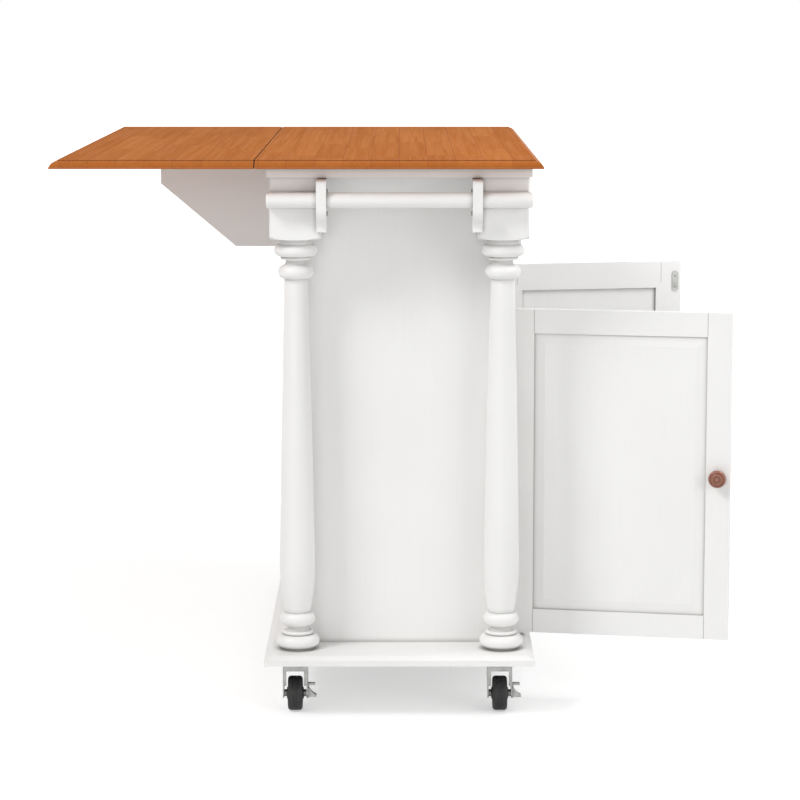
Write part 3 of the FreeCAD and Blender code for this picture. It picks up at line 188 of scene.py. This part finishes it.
def stained_wood():
    """Orange-brown stained hardwood staves, glued side by side with their ends met."""
    shader = Shader("stained_wood")
    split = shader.node("ShaderNodeSeparateXYZ")
    shader.set(split.inputs[0], shader.where)
    across, along = split.outputs[0], split.outputs[1]
    row_place = shader.math("DIVIDE", across, STAVE)
    row = shader.math("FLOOR", row_place)
    shift = shader.node("ShaderNodeTexWhiteNoise", noise_dimensions="1D")
    shader.set(shift.inputs["W"], row)
    offset = shader.math("MULTIPLY", shift.outputs["Value"], 7.0)
    piece_place = shader.math("ADD", shader.math("DIVIDE", along, STAVE_LENGTH), offset)
    piece = shader.math("FLOOR", piece_place)
    pair = shader.node("ShaderNodeCombineXYZ")
    shader.set(pair.inputs[0], row)
    shader.set(pair.inputs[1], piece)
    chance = shader.node("ShaderNodeTexWhiteNoise", noise_dimensions="3D")
    shader.set(chance.inputs["Vector"], pair.outputs[0])
    own = chance.outputs["Value"]

    jump = shader.node("ShaderNodeVectorMath", operation="MULTIPLY_ADD")
    shader.set(jump.inputs[0], chance.outputs["Color"])
    jump.inputs[1].default_value = (3.0, 3.0, 3.0)
    shader.set(jump.inputs[2], shader.where)
    figure = shader.noise(shader.stretched((24.0, 0.45, 24.0), jump.outputs[0]), 4.0, 5.0, 0.6, 0.4)
    pores = shader.noise(shader.stretched((520.0, 16.0, 520.0), jump.outputs[0]), 1.6, 2.0)
    fibre = shader.noise(shader.stretched((150.0, 1.2, 150.0), jump.outputs[0]), 2.5, 4.0, 0.6)
    flecks = shader.ramp(pores, 0.62, 0.74)
    clouds = shader.noise(shader.where, 4.0, detail=2.0)

    tone = shader.mix(shader.ramp(own, 0.0, 1.0), (0.440, 0.128, 0.014), (0.520, 0.166, 0.026))
    tone = shader.mix(shader.ramp(figure, 0.35, 0.72, 0.0, 0.65), tone, (0.350, 0.092, 0.012))
    tone = shader.mix(shader.ramp(fibre, 0.45, 0.75, 0.0, 0.38), tone, (0.60, 0.235, 0.060))
    tone = shader.mix(shader.math("MULTIPLY", flecks, 0.40), tone, (0.20, 0.045, 0.010))
    tone = shader.mix(shader.ramp(clouds, 0.3, 0.7, 0.0, 0.15), tone, (0.38, 0.11, 0.022))

    side_joint = shader.math("PINGPONG", row_place, 0.5)
    end_joint = shader.math("PINGPONG", piece_place, 0.5)
    side_line = shader.ramp(side_joint, 0.010, 0.022, 1.0, 0.0)
    end_line = shader.ramp(end_joint, 0.0010, 0.0024, 1.0, 0.0)
    line = shader.math("MAXIMUM", side_line, end_line)
    tone = shader.mix(shader.math("MULTIPLY", line, 0.4), tone, (0.22, 0.05, 0.012))

    facing = shader.node("ShaderNodeSeparateXYZ")
    shader.set(facing.inputs[0], shader.node("ShaderNodeNewGeometry").outputs["Normal"])
    level = shader.math("ABSOLUTE", facing.outputs[2])
    moulded = shader.ramp(level, 0.80, 0.995, 1.0, 0.0)
    # painted shade: surfaces that face sideways, such as the moulded edges, are darkened towards deep brown
    tone = shader.mix(shader.math("MULTIPLY", moulded, 0.45), tone, (0.33, 0.085, 0.010))
    # painted shade: the wood darkens towards near black in corners, creases and the edge's quirk
    corner_shade = shader.painted_crease_shade(8 * MM, 0.0)
    tone = shader.mix(corner_shade, (0.05, 0.010, 0.003), tone)
    # painted highlight: a light orange line along the moulded edges' arrises
    edge_highlight = shader.edges(0.9 * MM)
    tone = shader.mix(shader.math("MULTIPLY", edge_highlight, 0.55), tone, (0.80, 0.40, 0.19))

    gloss = shader.ramp(figure, 0.3, 0.7, 0.40, 0.50)
    gloss = shader.math("ADD", gloss, shader.math("MULTIPLY", flecks, 0.12))
    groove = shader.math("MULTIPLY", line, -1.0)
    shader.bump([(fibre, 0.05 * MM, 0.5), (flecks, -0.06 * MM, 0.5), (groove, 0.15 * MM, 0.6)])
    sheen = shader.math("MULTIPLY_ADD", moulded, 0.16, 0.002)
    shader.set(shader.surface.inputs["Specular IOR Level"], sheen)
    return shader.finish(tone, gloss)


def knob_wood():
    """Reddish-brown turned wood, end grain in rings round each knob's axis."""
    shader = Shader("knob_wood")
    grain = shader.noise(shader.stretched((40.0, 320.0, 320.0)), 2.0, 4.0, 0.6, 0.4)
    fine = shader.noise(shader.where, 1400.0, detail=2.0)
    tone = shader.mix(shader.ramp(grain, 0.35, 0.68), (0.330, 0.118, 0.062), (0.185, 0.056, 0.030))
    # painted shade: the knob darkens in its creases and corners
    corner_shade = shader.painted_crease_shade(3 * MM, 0.0)
    tone = shader.mix(corner_shade, (0.055, 0.016, 0.010), tone)
    # painted highlight: lighter brown along the knob's sharp edges
    edge_highlight = shader.edges(0.6 * MM)
    tone = shader.mix(shader.math("MULTIPLY", edge_highlight, 0.4), tone, (0.50, 0.24, 0.15))
    gloss = shader.ramp(grain, 0.3, 0.7, 0.30, 0.42)
    shader.bump([(fine, 0.03 * MM, 0.4), (grain, 0.06 * MM, 0.4)])
    shader.surface.inputs["Coat Weight"].default_value = 0.3
    shader.surface.inputs["Coat Roughness"].default_value = 0.25
    return shader.finish(tone, gloss)


def zinc_steel():
    """Zinc-plated pressed steel: fine rolling lines, cloudy plating, and painted shade near black in its creases
    and corners.
    """
    shader = Shader("zinc_steel")
    clouds = shader.noise(shader.where, 90.0, detail=4.0)
    lines = shader.noise(shader.stretched((900.0, 900.0, 30.0)), 1.0, 2.0)
    tone = shader.mix(shader.ramp(clouds, 0.3, 0.7), (0.30, 0.30, 0.29), (0.42, 0.42, 0.41))
    # painted shade: near black in corners and creases
    tone = shader.mix(shader.painted_crease_shade(8 * MM, 0.0), (0.07, 0.07, 0.066), tone)
    gloss = shader.ramp(clouds, 0.3, 0.7, 0.30, 0.46)
    shader.bump([(lines, 0.02 * MM, 0.4), (clouds, 0.05 * MM, 0.3)])
    shader.surface.inputs["Metallic"].default_value = 0.9
    return shader.finish(tone, gloss)


def black_tyre():
    """Matt black tread and wheel body with fine moulding texture and a little dust."""
    shader = Shader("black_tyre")
    grit = shader.noise(shader.where, 700.0, detail=4.0, roughness=0.6)
    dust = shader.noise(shader.where, 60.0, detail=5.0, roughness=0.65)
    tone = shader.mix(shader.ramp(dust, 0.45, 0.8, 0.0, 0.5), (0.010, 0.010, 0.010), (0.045, 0.043, 0.040))
    gloss = shader.ramp(grit, 0.3, 0.7, 0.48, 0.68)
    shader.bump([(grit, 0.08 * MM, 0.5)])
    return shader.finish(tone, gloss)


def pale_plastic():
    """Moulded off-white plastic of the door catches."""
    shader = Shader("pale_plastic")
    grit = shader.noise(shader.where, 900.0, detail=2.0)
    clouds = shader.noise(shader.where, 60.0)
    tone = shader.mix(shader.ramp(clouds, 0.3, 0.7), (0.62, 0.61, 0.57), (0.70, 0.69, 0.65))
    shader.bump([(grit, 0.05 * MM, 0.4)])
    return shader.finish(tone, shader.ramp(clouds, 0.3, 0.7, 0.38, 0.5))


def painted_hollow_shade():
    """Painted shade: a near-black colour standing for the shade at the bottom of screw recesses."""
    shader = Shader("painted_hollow_shade")
    grit = shader.noise(shader.where, 800.0)
    tone = shader.mix(grit, (0.012, 0.012, 0.012), (0.05, 0.05, 0.048))
    shader.bump([(grit, 0.03 * MM, 0.4)])
    return shader.finish(tone, shader.ramp(grit, 0.3, 0.7, 0.5, 0.7))


def painted_joint_shade():
    """Painted shade: a grey hairline at a joint, standing for the shade in it."""
    shader = Shader("painted_joint_shade")
    grit = shader.noise(shader.where, 300.0, detail=3.0)
    tone = shader.mix(grit, (0.22, 0.216, 0.21), (0.36, 0.355, 0.345))
    shader.bump([(grit, 0.03 * MM, 0.4)])
    return shader.finish(tone, shader.ramp(grit, 0.3, 0.7, 0.6, 0.8))


JOINT_SHADE = painted_joint_shade()
PAINT = {grain: white_paint(grain) for grain in "xyz"}
TOP_WOOD = stained_wood()
KNOB_WOOD = knob_wood()
ZINC = zinc_steel()
TYRE = black_tyre()
PLASTIC = pale_plastic()
HOLLOW_SHADE = painted_hollow_shade()

# which way the grain runs in each painted piece
GRAIN_OF = {
    "base_board": "y",
    "end_panels": "z",
    "back_panel": "z",
    "cabinet_floor_and_deck": "y",
    "drawer_divider": "x",
    "top_panel": "y",
    "end_caps": "x",
    "frame_stiles": "z",
    "frame_rails": "y",
    "shelf": "y",
    "towel_bar": "x",
    "towel_brackets": "z",
    "drawer_rails": "x",
}
for door_end in ("near", "far"):
    GRAIN_OF[f"door_{door_end}_stiles"] = "z"
    GRAIN_OF[f"door_{door_end}_rails"] = "x"
    GRAIN_OF[f"door_{door_end}_panel"] = "z"
    GRAIN_OF[f"drawer_{door_end}_front"] = "y"
    GRAIN_OF[f"drawer_{door_end}_box"] = "x"
    GRAIN_OF[f"support_{door_end}"] = "x"

BY_SLOT = {
    "stained_wood": TOP_WOOD,
    "knob_wood": KNOB_WOOD,
    "zinc_steel": ZINC,
    "black_wheel": TYRE,
    "brown_plastic": PLASTIC,
}
SLOT_OF = {entry["node"]: entry["material_slot"] for entry in frame["record"]["subparts"]}


def dress(piece, material):
    """Gives a piece one material and no other."""
    piece.data.materials.clear()
    piece.data.materials.append(material)


def soften(piece, width, segments=3, angle=40):
    """Rounds a piece's sharp edges by a small amount."""
    edge = piece.modifiers.new("softened_edges", "BEVEL")
    edge.width = width
    edge.segments = segments
    edge.limit_method = "ANGLE"
    edge.angle_limit = math.radians(angle)
    edge.use_clamp_overlap = True
    edge.harden_normals = True


EDGE_OF = {
    "towel_brackets": 1.2,
    "base_board": 0.5,
    "worktop": 0.35,
    "drop_leaf": 0.35,
    "end_caps": 1.0,
    "support_near": 1.2,
    "support_far": 1.2,
}
for name, piece in NODES.items():
    slot = SLOT_OF[name]
    if slot == "white_wood":
        dress(piece, PAINT[GRAIN_OF.get(name, "z")])
        soften(piece, EDGE_OF.get(name, 0.8) * MM)
    else:
        dress(piece, BY_SLOT[slot])
        if slot == "zinc_steel":
            soften(piece, 0.25 * MM, 2, 50)
        elif name in EDGE_OF:
            soften(piece, EDGE_OF[name] * MM, 2)

# ---------------------------------------------------------------- mesh helpers


def made(name, bm, material, body, slot, smooth_angle=35):
    """A finished piece from a bmesh, riding on a CAD body."""
    bmesh.ops.recalc_face_normals(bm, faces=bm.faces)
    mesh = bpy.data.meshes.new(name)
    bm.to_mesh(mesh)
    bm.free()
    mesh.shade_smooth()
    mesh.set_sharp_from_angle(angle=math.radians(smooth_angle))
    piece = bpy.data.objects.new(name, mesh)
    bpy.context.scene.collection.objects.link(piece)
    dress(piece, material)
    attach(piece, body)
    return piece


def arc_points(points, steps=10):
    """Expands (radius, height, bulge) points: a bulge bends the line to the next point,
    and is the bend's height over half the line's length."""
    expanded = []
    for i, point in enumerate(points):
        start = Vector(point[:2])
        expanded.append(start)
        if len(point) < 3 or i + 1 == len(points):
            continue
        end = Vector(points[i + 1][:2])
        chord = end - start
        bulge = point[2]
        radius = chord.length * (1 + bulge * bulge) / (4 * abs(bulge))
        left = Vector((-chord.y, chord.x)).normalized()
        side = 1 if bulge > 0 else -1
        centre = (start + end) / 2 + left * side * (radius - abs(bulge) * chord.length / 2)
        first = math.atan2(start.y - centre.y, start.x - centre.x)
        turn = 4 * math.atan(bulge)
        for k in range(1, steps):
            angle = first + turn * k / steps
            expanded.append(centre + Vector((math.cos(angle), math.sin(angle))) * radius)
    return expanded


def lathe(bm, profile, segments=72, place=Matrix.Identity(4)):
    """Turns a (radius, height) profile about Z into a closed surface."""
    rings = []
    for radius, height in profile:
        if radius < 1e-6:
            rings.append([bm.verts.new(place @ Vector((0, 0, height)))])
            continue
        ring = []
        for k in range(segments):
            angle = 2 * math.pi * k / segments
            spot = Vector((radius * math.cos(angle), radius * math.sin(angle), height))
            ring.append(bm.verts.new(place @ spot))
        rings.append(ring)
    for low, high in zip(rings, rings[1:]):
        for k in range(segments):
            after = (k + 1) % segments
            if len(low) == 1:
                bm.faces.new((low[0], high[after], high[k]))
            elif len(high) == 1:
                bm.faces.new((low[k], low[after], high[0]))
            else:
                bm.faces.new((low[k], low[after], high[after], high[k]))


TOWARDS_X = Matrix.Rotation(math.radians(90), 4, "Y")

# ---------------------------------------------------------------- posts

BLOCK_HEIGHT = 101.5 * MM
BLOCK_EASE = 7 * MM
BLOCK_ROOT = 38 * MM
BLOCK_SIDE = 82.4 * MM


def swelling(widest, low, high, height):
    """The bulge of an edge from radius low up to radius high that passes radius widest."""
    return 2 * (widest - (low + high) / 2) / height


def post_profile(foot, block_low):
    """The turned part of a post, from its foot up into its block."""
    points = [(0, foot), (27.0 * MM, foot)]
    height = foot + 1.5 * MM
    # radius at the bottom, radius at the top, widest or narrowest radius, height
    for low, top, widest, rise in (
        (27.0, 27.4, 35.8, 22.5),
        (24.4, 21.4, 25.4, 6.5),
        (19.0, 21.0, 17.0, 8.5),
        (21.0, 21.6, 29.0, 22.0),
    ):
        low, top, widest, rise = low * MM, top * MM, widest * MM, rise * MM
        points.append((low, height, swelling(widest, low, top, rise)))
        height += rise
        points.append((top, height))
    belly = foot + 140 * MM
    ring_low = block_low - 28.5 * MM
    bead_low = ring_low - 36.5 * MM
    points.append((20.6 * MM, height, 8.4 * MM / (2 * (belly - height))))
    points.append((29.0 * MM, belly, 1.4 * MM / (bead_low - belly)))
    points.append((19.3 * MM, bead_low))
    height = bead_low
    for low, top, widest, rise in (
        (21.3, 19.0, 29.2, 23.0),
        (19.0, 18.0, 17.0, 8.5),
        (24.2, 24.2, 25.2, 5.0),
        (27.2, 28.0, 35.6, 19.5),
    ):
        low, top, widest, rise = low * MM, top * MM, widest * MM, rise * MM
        points.append((low, height, swelling(widest, low, top, rise)))
        height += rise
        points.append((top, height))
    points += [
        (27.0 * MM, height),
        (27.0 * MM, block_low + 2 * MM),
        (0, block_low + 2 * MM),
    ]
    return arc_points(points, 14)


def block_drop(distance):
    """How far above the block's lowest point its lathe-rounded underside lies."""
    past = max(0.0, distance - BLOCK_ROOT)
    reach = BLOCK_SIDE * math.sqrt(0.5) - BLOCK_ROOT
    return BLOCK_EASE * min(1.0, past / reach) ** 1.8


def add_block(bm, low, high, middle):
    """The square block: eased upright edges and a lathe-rounded underside."""
    cells = 28
    half_x, half_y = (high.x - low.x) / 2, (high.y - low.y) / 2
    ease = 1.3 * MM

    def spot(i, j, top):
        x = (2 * i / cells - 1) * half_x
        y = (2 * j / cells - 1) * half_y
        if i in (0, cells) and j in (0, cells):
            x -= math.copysign(ease, x)
            y -= math.copysign(ease, y)
        height = high.z if top else low.z + block_drop(math.hypot(x, y))
        return bm.verts.new((middle.x + x, middle.y + y, height))

    grids = [
        [[spot(i, j, top) for j in range(cells + 1)] for i in range(cells + 1)]
        for top in (False, True)
    ]
    for grid in grids:
        for i in range(cells):
            for j in range(cells):
                bm.faces.new((grid[i][j], grid[i + 1][j], grid[i + 1][j + 1], grid[i][j + 1]))
    rim = [(i, 0) for i in range(cells)] + [(cells, j) for j in range(cells)]
    rim += [(i, cells) for i in range(cells, 0, -1)] + [(0, j) for j in range(cells, 0, -1)]
    for (i, j), (m, n) in zip(rim, rim[1:] + rim[:1]):
        bm.faces.new((grids[0][i][j], grids[0][m][n], grids[1][m][n], grids[1][i][j]))


def posts():
    """Four turned posts with square heads."""
    for end, side in CORNERS:
        node = f"post_{end}_{side}"
        low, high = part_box(node)
        middle = (low + high) / 2
        block_low = high.z - BLOCK_HEIGHT
        bm = bmesh.new()
        place = Matrix.Translation((middle.x, middle.y, 0))
        lathe(bm, post_profile(low.z, block_low), 96, place)
        add_block(bm, Vector((low.x, low.y, block_low)), high, middle)
        piece = made(f"turned_{node}", bm, PAINT["z"], "cart", "white_wood", 32)
        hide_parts(node)


# ---------------------------------------------------------------- knobs

KNOB_RADIUS = 14.5 * MM
KNOB_LENGTH = 20.5 * MM


def knob_profile():
    """A mushroom knob: flared foot, neck, domed rim, and two turned rings in its face."""
    r, top = KNOB_RADIUS, KNOB_LENGTH
    return arc_points(
        [
            (0, 0),
            (9.0 * MM, 0, 0.3),
            (7.0 * MM, 3.0 * MM, -0.35),
            (r * 0.9, top - 9.5 * MM, 0.35),
            (r, top - 5.5 * MM, 0.3),
            (r * 0.80, top - 1.7 * MM),
            (r * 0.76, top - 2.5 * MM),
            (r * 0.70, top - 2.5 * MM),
            (r * 0.67, top - 1.2 * MM, 0.15),
            (r * 0.42, top - 0.2 * MM),
            (r * 0.38, top - 1.6 * MM),
            (r * 0.31, top - 1.6 * MM),
            (r * 0.28, top - 0.6 * MM, 0.2),
            (0, top),
        ],
        8,
    )


def knob_axis(node):
    """The middle of a knob's box."""
    low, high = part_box(node)
    return (low + high) / 2


def knobs():
    """Four turned knobs."""
    for kind in ("door", "drawer"):
        for end in ("near", "far"):
            node = f"{kind}_{end}_knob"
            middle = knob_axis(node)
            angle = 0.0
            if kind == "door":
                angle = math.radians(DOOR_ANGLE if end == "far" else -DOOR_ANGLE)
            out = Vector((math.cos(angle), math.sin(angle), 0))
            foot = middle - out * KNOB_LENGTH / 2
            place = Matrix.Translation(foot) @ Matrix.Rotation(angle, 4, "Z") @ TOWARDS_X
            bm = bmesh.new()
            lathe(bm, knob_profile(), 64, place)
            piece = made(f"turned_{node}", bm, KNOB_WOOD, f"{end}_{kind}", "knob_wood", 30)
            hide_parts(node)


DOOR_ANGLE = next(j["range_deg"][1] for j in frame["joints"] if j["name"] == "near_door_swing")

DOOR_WIDTH = 367 * MM
DOOR_THICKNESS = 18 * MM
DOOR_INNER = 0.5 * MM
STILE = 40 * MM
PIN_ASIDE = 2.8 * MM

# ---------------------------------------------------------------- towel bar


def towel_bar():
    """A turned round bar with softly rounded ends."""
    low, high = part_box("towel_bar")
    radius = (high.z - low.z) / 2
    length = high.x - low.x
    ease = 2.5 * MM
    profile = arc_points(
        [
            (0, 0),
            (radius - ease, 0, 0.4142),
            (radius, ease),
            (radius, length - ease, 0.4142),
            (radius - ease, length),
            (0, length),
        ],
        6,
    )
    middle = (low + high) / 2
    place = Matrix.Translation((low.x, middle.y, middle.z)) @ TOWARDS_X
    bm = bmesh.new()
    lathe(bm, profile, 64, place)
    piece = made("round_towel_bar", bm, PAINT["x"], "cart", "white_wood")
    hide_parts("towel_bar")


# ---------------------------------------------------------------- casters


def wheel(node, body):
    """A wheel with a ribbed tread, dished sides and a raised hub."""
    low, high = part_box(node)
    middle = (low + high) / 2
    radius = (high.z - low.z) / 2
    half_hub = (high.x - low.x) / 2
    half = 12 * MM
    corner = 4.5 * MM
    side = [
        (4.05 * MM, -half_hub),
        (8.5 * MM, -half_hub, 0.3),
        (10.0 * MM, -half_hub + 1.2 * MM),
        (11.5 * MM, -half + 1.8 * MM),
        (radius - 8 * MM, -half + 1.8 * MM),
        (radius - 7 * MM, -half + 0.4 * MM),
        (radius - corner, -half, 0.38),
        (radius - 0.15 * MM, -half + corner),
    ]
    tread = []
    for rib in range(-1, 2):
        centre = rib * 4.2 * MM
        tread += [
            (radius, centre - 1.7 * MM),
            (radius, centre + 1.7 * MM),
            (radius - 0.6 * MM, centre + 1.9 * MM),
            (radius - 0.6 * MM, centre + 2.3 * MM),
        ]
    mirrored = []
    for i in range(len(side) - 1, -1, -1):
        r, x = side[i][:2]
        before = side[i - 1] if i else ()
        bend = (before[2],) if len(before) == 3 else ()
        mirrored.append((r, -x, *bend))
    profile = arc_points(side + tread[:-2] + mirrored, 7)
    profile.append(profile[0])
    bm = bmesh.new()
    lathe(bm, profile, 72, Matrix.Translation(middle) @ TOWARDS_X)
    bmesh.ops.remove_doubles(bm, verts=bm.verts, dist=1e-6)
    piece = made(f"ribbed_{node}", bm, TYRE, body, "black_wheel", 30)
    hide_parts(node)


def casters():
    """The wheels of all four casters."""
    for end, side in CORNERS:
        label = f"caster_{end}_{side}"
        wheel(f"{label}_wheel", f"{label}_wheel")


# ---------------------------------------------------------------- small screws


def screw(name, spot, axis, body, radius, height):
    """A domed screw head with a cross recess drawn as dark boxes of painted shade, seated at spot and facing along
    axis.
    """
    turn = Vector((0, 0, 1)).rotation_difference(Vector(axis)).to_matrix().to_4x4()
    place = Matrix.Translation(spot) @ turn
    bm = bmesh.new()
    dome = arc_points([(0, 0), (radius, 0), (radius, height * 0.3, 0.25), (radius * 0.15, height), (0, height)], 6)
    lathe(bm, dome, 32, place)
    head = made(name, bm, ZINC, body, "zinc_steel")
    bm = bmesh.new()
    wide, long = radius * 0.16, radius * 0.62
    for sx, sy in ((wide, long), (long, wide)):
        made_box = bmesh.ops.create_cube(bm, size=1)
        for vertex in made_box["verts"]:
            vertex.co.x *= 2 * sx
            vertex.co.y *= 2 * sy
            vertex.co.z = vertex.co.z * height * 0.5 + height * 0.80
            vertex.co = place @ vertex.co
    # painted shade: the cross recess is dark boxes, not a hollow
    made(f"{name}_recess_shade", bm, HOLLOW_SHADE, body, "zinc_steel")
    return head


def strike_screws():
    """Two screws in each door's strike plate."""
    for end, sign in (("near", -1), ("far", 1)):
        angle = math.radians(sign * DOOR_ANGLE)
        inward = (-math.cos(angle), -math.sin(angle), 0)
        pin = next(j["pos_m"] for j in frame["joints"] if j["name"] == f"{end}_door_swing")
        along = -sign
        shut_x = 0.5 * MM - 1.2 * MM
        shut_y = along * (2.8 + 367.0 - 6.0 - 6.0) * MM
        spot_x = pin[0] + shut_x * math.cos(angle) - shut_y * math.sin(angle)
        spot_y = pin[1] + shut_x * math.sin(angle) + shut_y * math.cos(angle)
        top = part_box(f"door_{end}_stiles")[1].z - 18 * MM
        for i, drop in enumerate((8.5 * MM, 30.5 * MM)):
            screw(
                f"strike_screw_{end}_{i}",
                Vector((spot_x, spot_y, top - drop)),
                inward,
                f"{end}_door",
                2.6 * MM,
                0.8 * MM,
            )


def door_joints(end, sign):
    """Hairlines of painted shade where a door's rails meet its stiles, on both faces."""
    angle = math.radians(sign * DOOR_ANGLE)
    pin = next(j["pos_m"] for j in frame["joints"] if j["name"] == f"{end}_door_swing")
    low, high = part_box(f"door_{end}_stiles")
    place = Matrix.Translation((pin[0], pin[1], 0)) @ Matrix.Rotation(angle, 4, "Z")
    half = 0.35 * MM
    proud = 0.03 * MM
    bm = bmesh.new()
    for face in (DOOR_INNER - proud, DOOR_INNER + DOOR_THICKNESS + proud):
        for across in (STILE, DOOR_WIDTH - STILE):
            along = -sign * (PIN_ASIDE + across)
            for bottom, top in ((low.z, low.z + STILE), (high.z - STILE, high.z)):
                made_box = bmesh.ops.create_cube(bm, size=1)
                for vertex in made_box["verts"]:
                    vertex.co.x = face + vertex.co.x * 2 * proud
                    vertex.co.y = along + vertex.co.y * 2 * half
                    middle = (bottom + top) / 2
                    vertex.co.z = middle + vertex.co.z * (top - bottom - 1.5 * MM)
                    vertex.co = place @ vertex.co
    # painted shade: dark strips lie just proud of both faces along the rail and stile joints
    made(f"joint_shade_strips_{end}", bm, JOINT_SHADE, f"{end}_door", "white_wood")


door_joints("near", -1)
door_joints("far", 1)
posts()
knobs()
towel_bar()
casters()
strike_screws()

# ---------------------------------------------------------------- stage, light and camera


def white_floor():
    """A pale floor that reads as white to the camera and keeps the cart's shadow."""
    bpy.ops.mesh.primitive_plane_add(size=60, location=(0, 0, 0))
    floor = bpy.context.object
    floor.name = "floor"
    shader = Shader("pale_floor")
    clouds = shader.noise(shader.where, 2.0)
    tone = shader.mix(clouds, (0.78, 0.78, 0.78), (0.80, 0.80, 0.80))
    shader.finish(tone, 0.6)
    path = shader.node("ShaderNodeLightPath")
    seen = shader.math("MAXIMUM", path.outputs["Is Camera Ray"], path.outputs["Is Glossy Ray"])
    seen = shader.math("MAXIMUM", seen, path.outputs["Is Transmission Ray"])
    away = shader.node("ShaderNodeVectorMath", operation="LENGTH")
    shader.set(away.inputs[0], shader.where)
    lift = shader.math("MULTIPLY", seen, shader.ramp(away.outputs["Value"], 1.0, 4.0, 0.42, 1.0))
    shader.surface.inputs["Emission Color"].default_value = (1, 1, 1, 1)
    shader.set(shader.surface.inputs["Emission Strength"], lift)
    dress(floor, shader.material)


def world_light(strength):
    """Even light from all round; white to the camera."""
    world = bpy.data.worlds.new("studio")
    bpy.context.scene.world = world
    world.use_nodes = True
    tree = world.node_tree
    background = tree.nodes["Background"]
    background.inputs["Color"].default_value = (1, 1, 1, 1)
    path = tree.nodes.new("ShaderNodeLightPath")
    seen = tree.nodes.new("ShaderNodeMath")
    seen.operation = "MAXIMUM"
    tree.links.new(path.outputs["Is Camera Ray"], seen.inputs[0])
    tree.links.new(path.outputs["Is Glossy Ray"], seen.inputs[1])
    through = seen
    seen = tree.nodes.new("ShaderNodeMath")
    seen.operation = "MAXIMUM"
    tree.links.new(through.outputs[0], seen.inputs[0])
    tree.links.new(path.outputs["Is Transmission Ray"], seen.inputs[1])
    level = tree.nodes.new("ShaderNodeMapRange")
    level.inputs["To Min"].default_value = strength
    level.inputs["To Max"].default_value = 1.0
    tree.links.new(seen.outputs[0], level.inputs["Value"])
    tree.links.new(level.outputs[0], background.inputs["Strength"])


def area_light(name, spot, target, size, power):
    """A soft square lamp at spot that faces target."""
    data = bpy.data.lights.new(name, "AREA")
    data.energy = power
    data.size = size
    lamp = bpy.data.objects.new(name, data)
    lamp.location = spot
    lamp.rotation_euler = (Vector(target) - Vector(spot)).to_track_quat("-Z", "Y").to_euler()
    bpy.context.scene.collection.objects.link(lamp)


def camera():
    """The photograph's view: a long lens just above the worktop, near the cart's end."""
    data = bpy.data.cameras.new("camera")
    data.lens = 128.05
    data.sensor_width = 36
    eye = bpy.data.objects.new("camera", data)
    eye.location = (0.0009, -5.081, 1.180)
    eye.rotation_euler = (math.radians(90 - 8.19), 0, 0)
    bpy.context.scene.collection.objects.link(eye)
    bpy.context.scene.camera = eye


white_floor()
world_light(0.33)
MIDDLE = (0, 0, 0.5)
area_light("key", (-3.1, -2.7, 4.2), MIDDLE, 1.5, 136)
area_light("fill", (3.2, -3.4, 1.8), MIDDLE, 2.2, 43)
area_light("front", (-1.0, -4.8, 1.1), MIDDLE, 2.0, 20)
area_light("top", (0.3, 0.2, 3.6), MIDDLE, 2.8, 16)
area_light("far_door", (1.3, -0.35, 1.9), (0.5, 0.5, 0.6), 0.8, 13)
camera()
bpy.context.scene.view_settings.view_transform = "Standard"
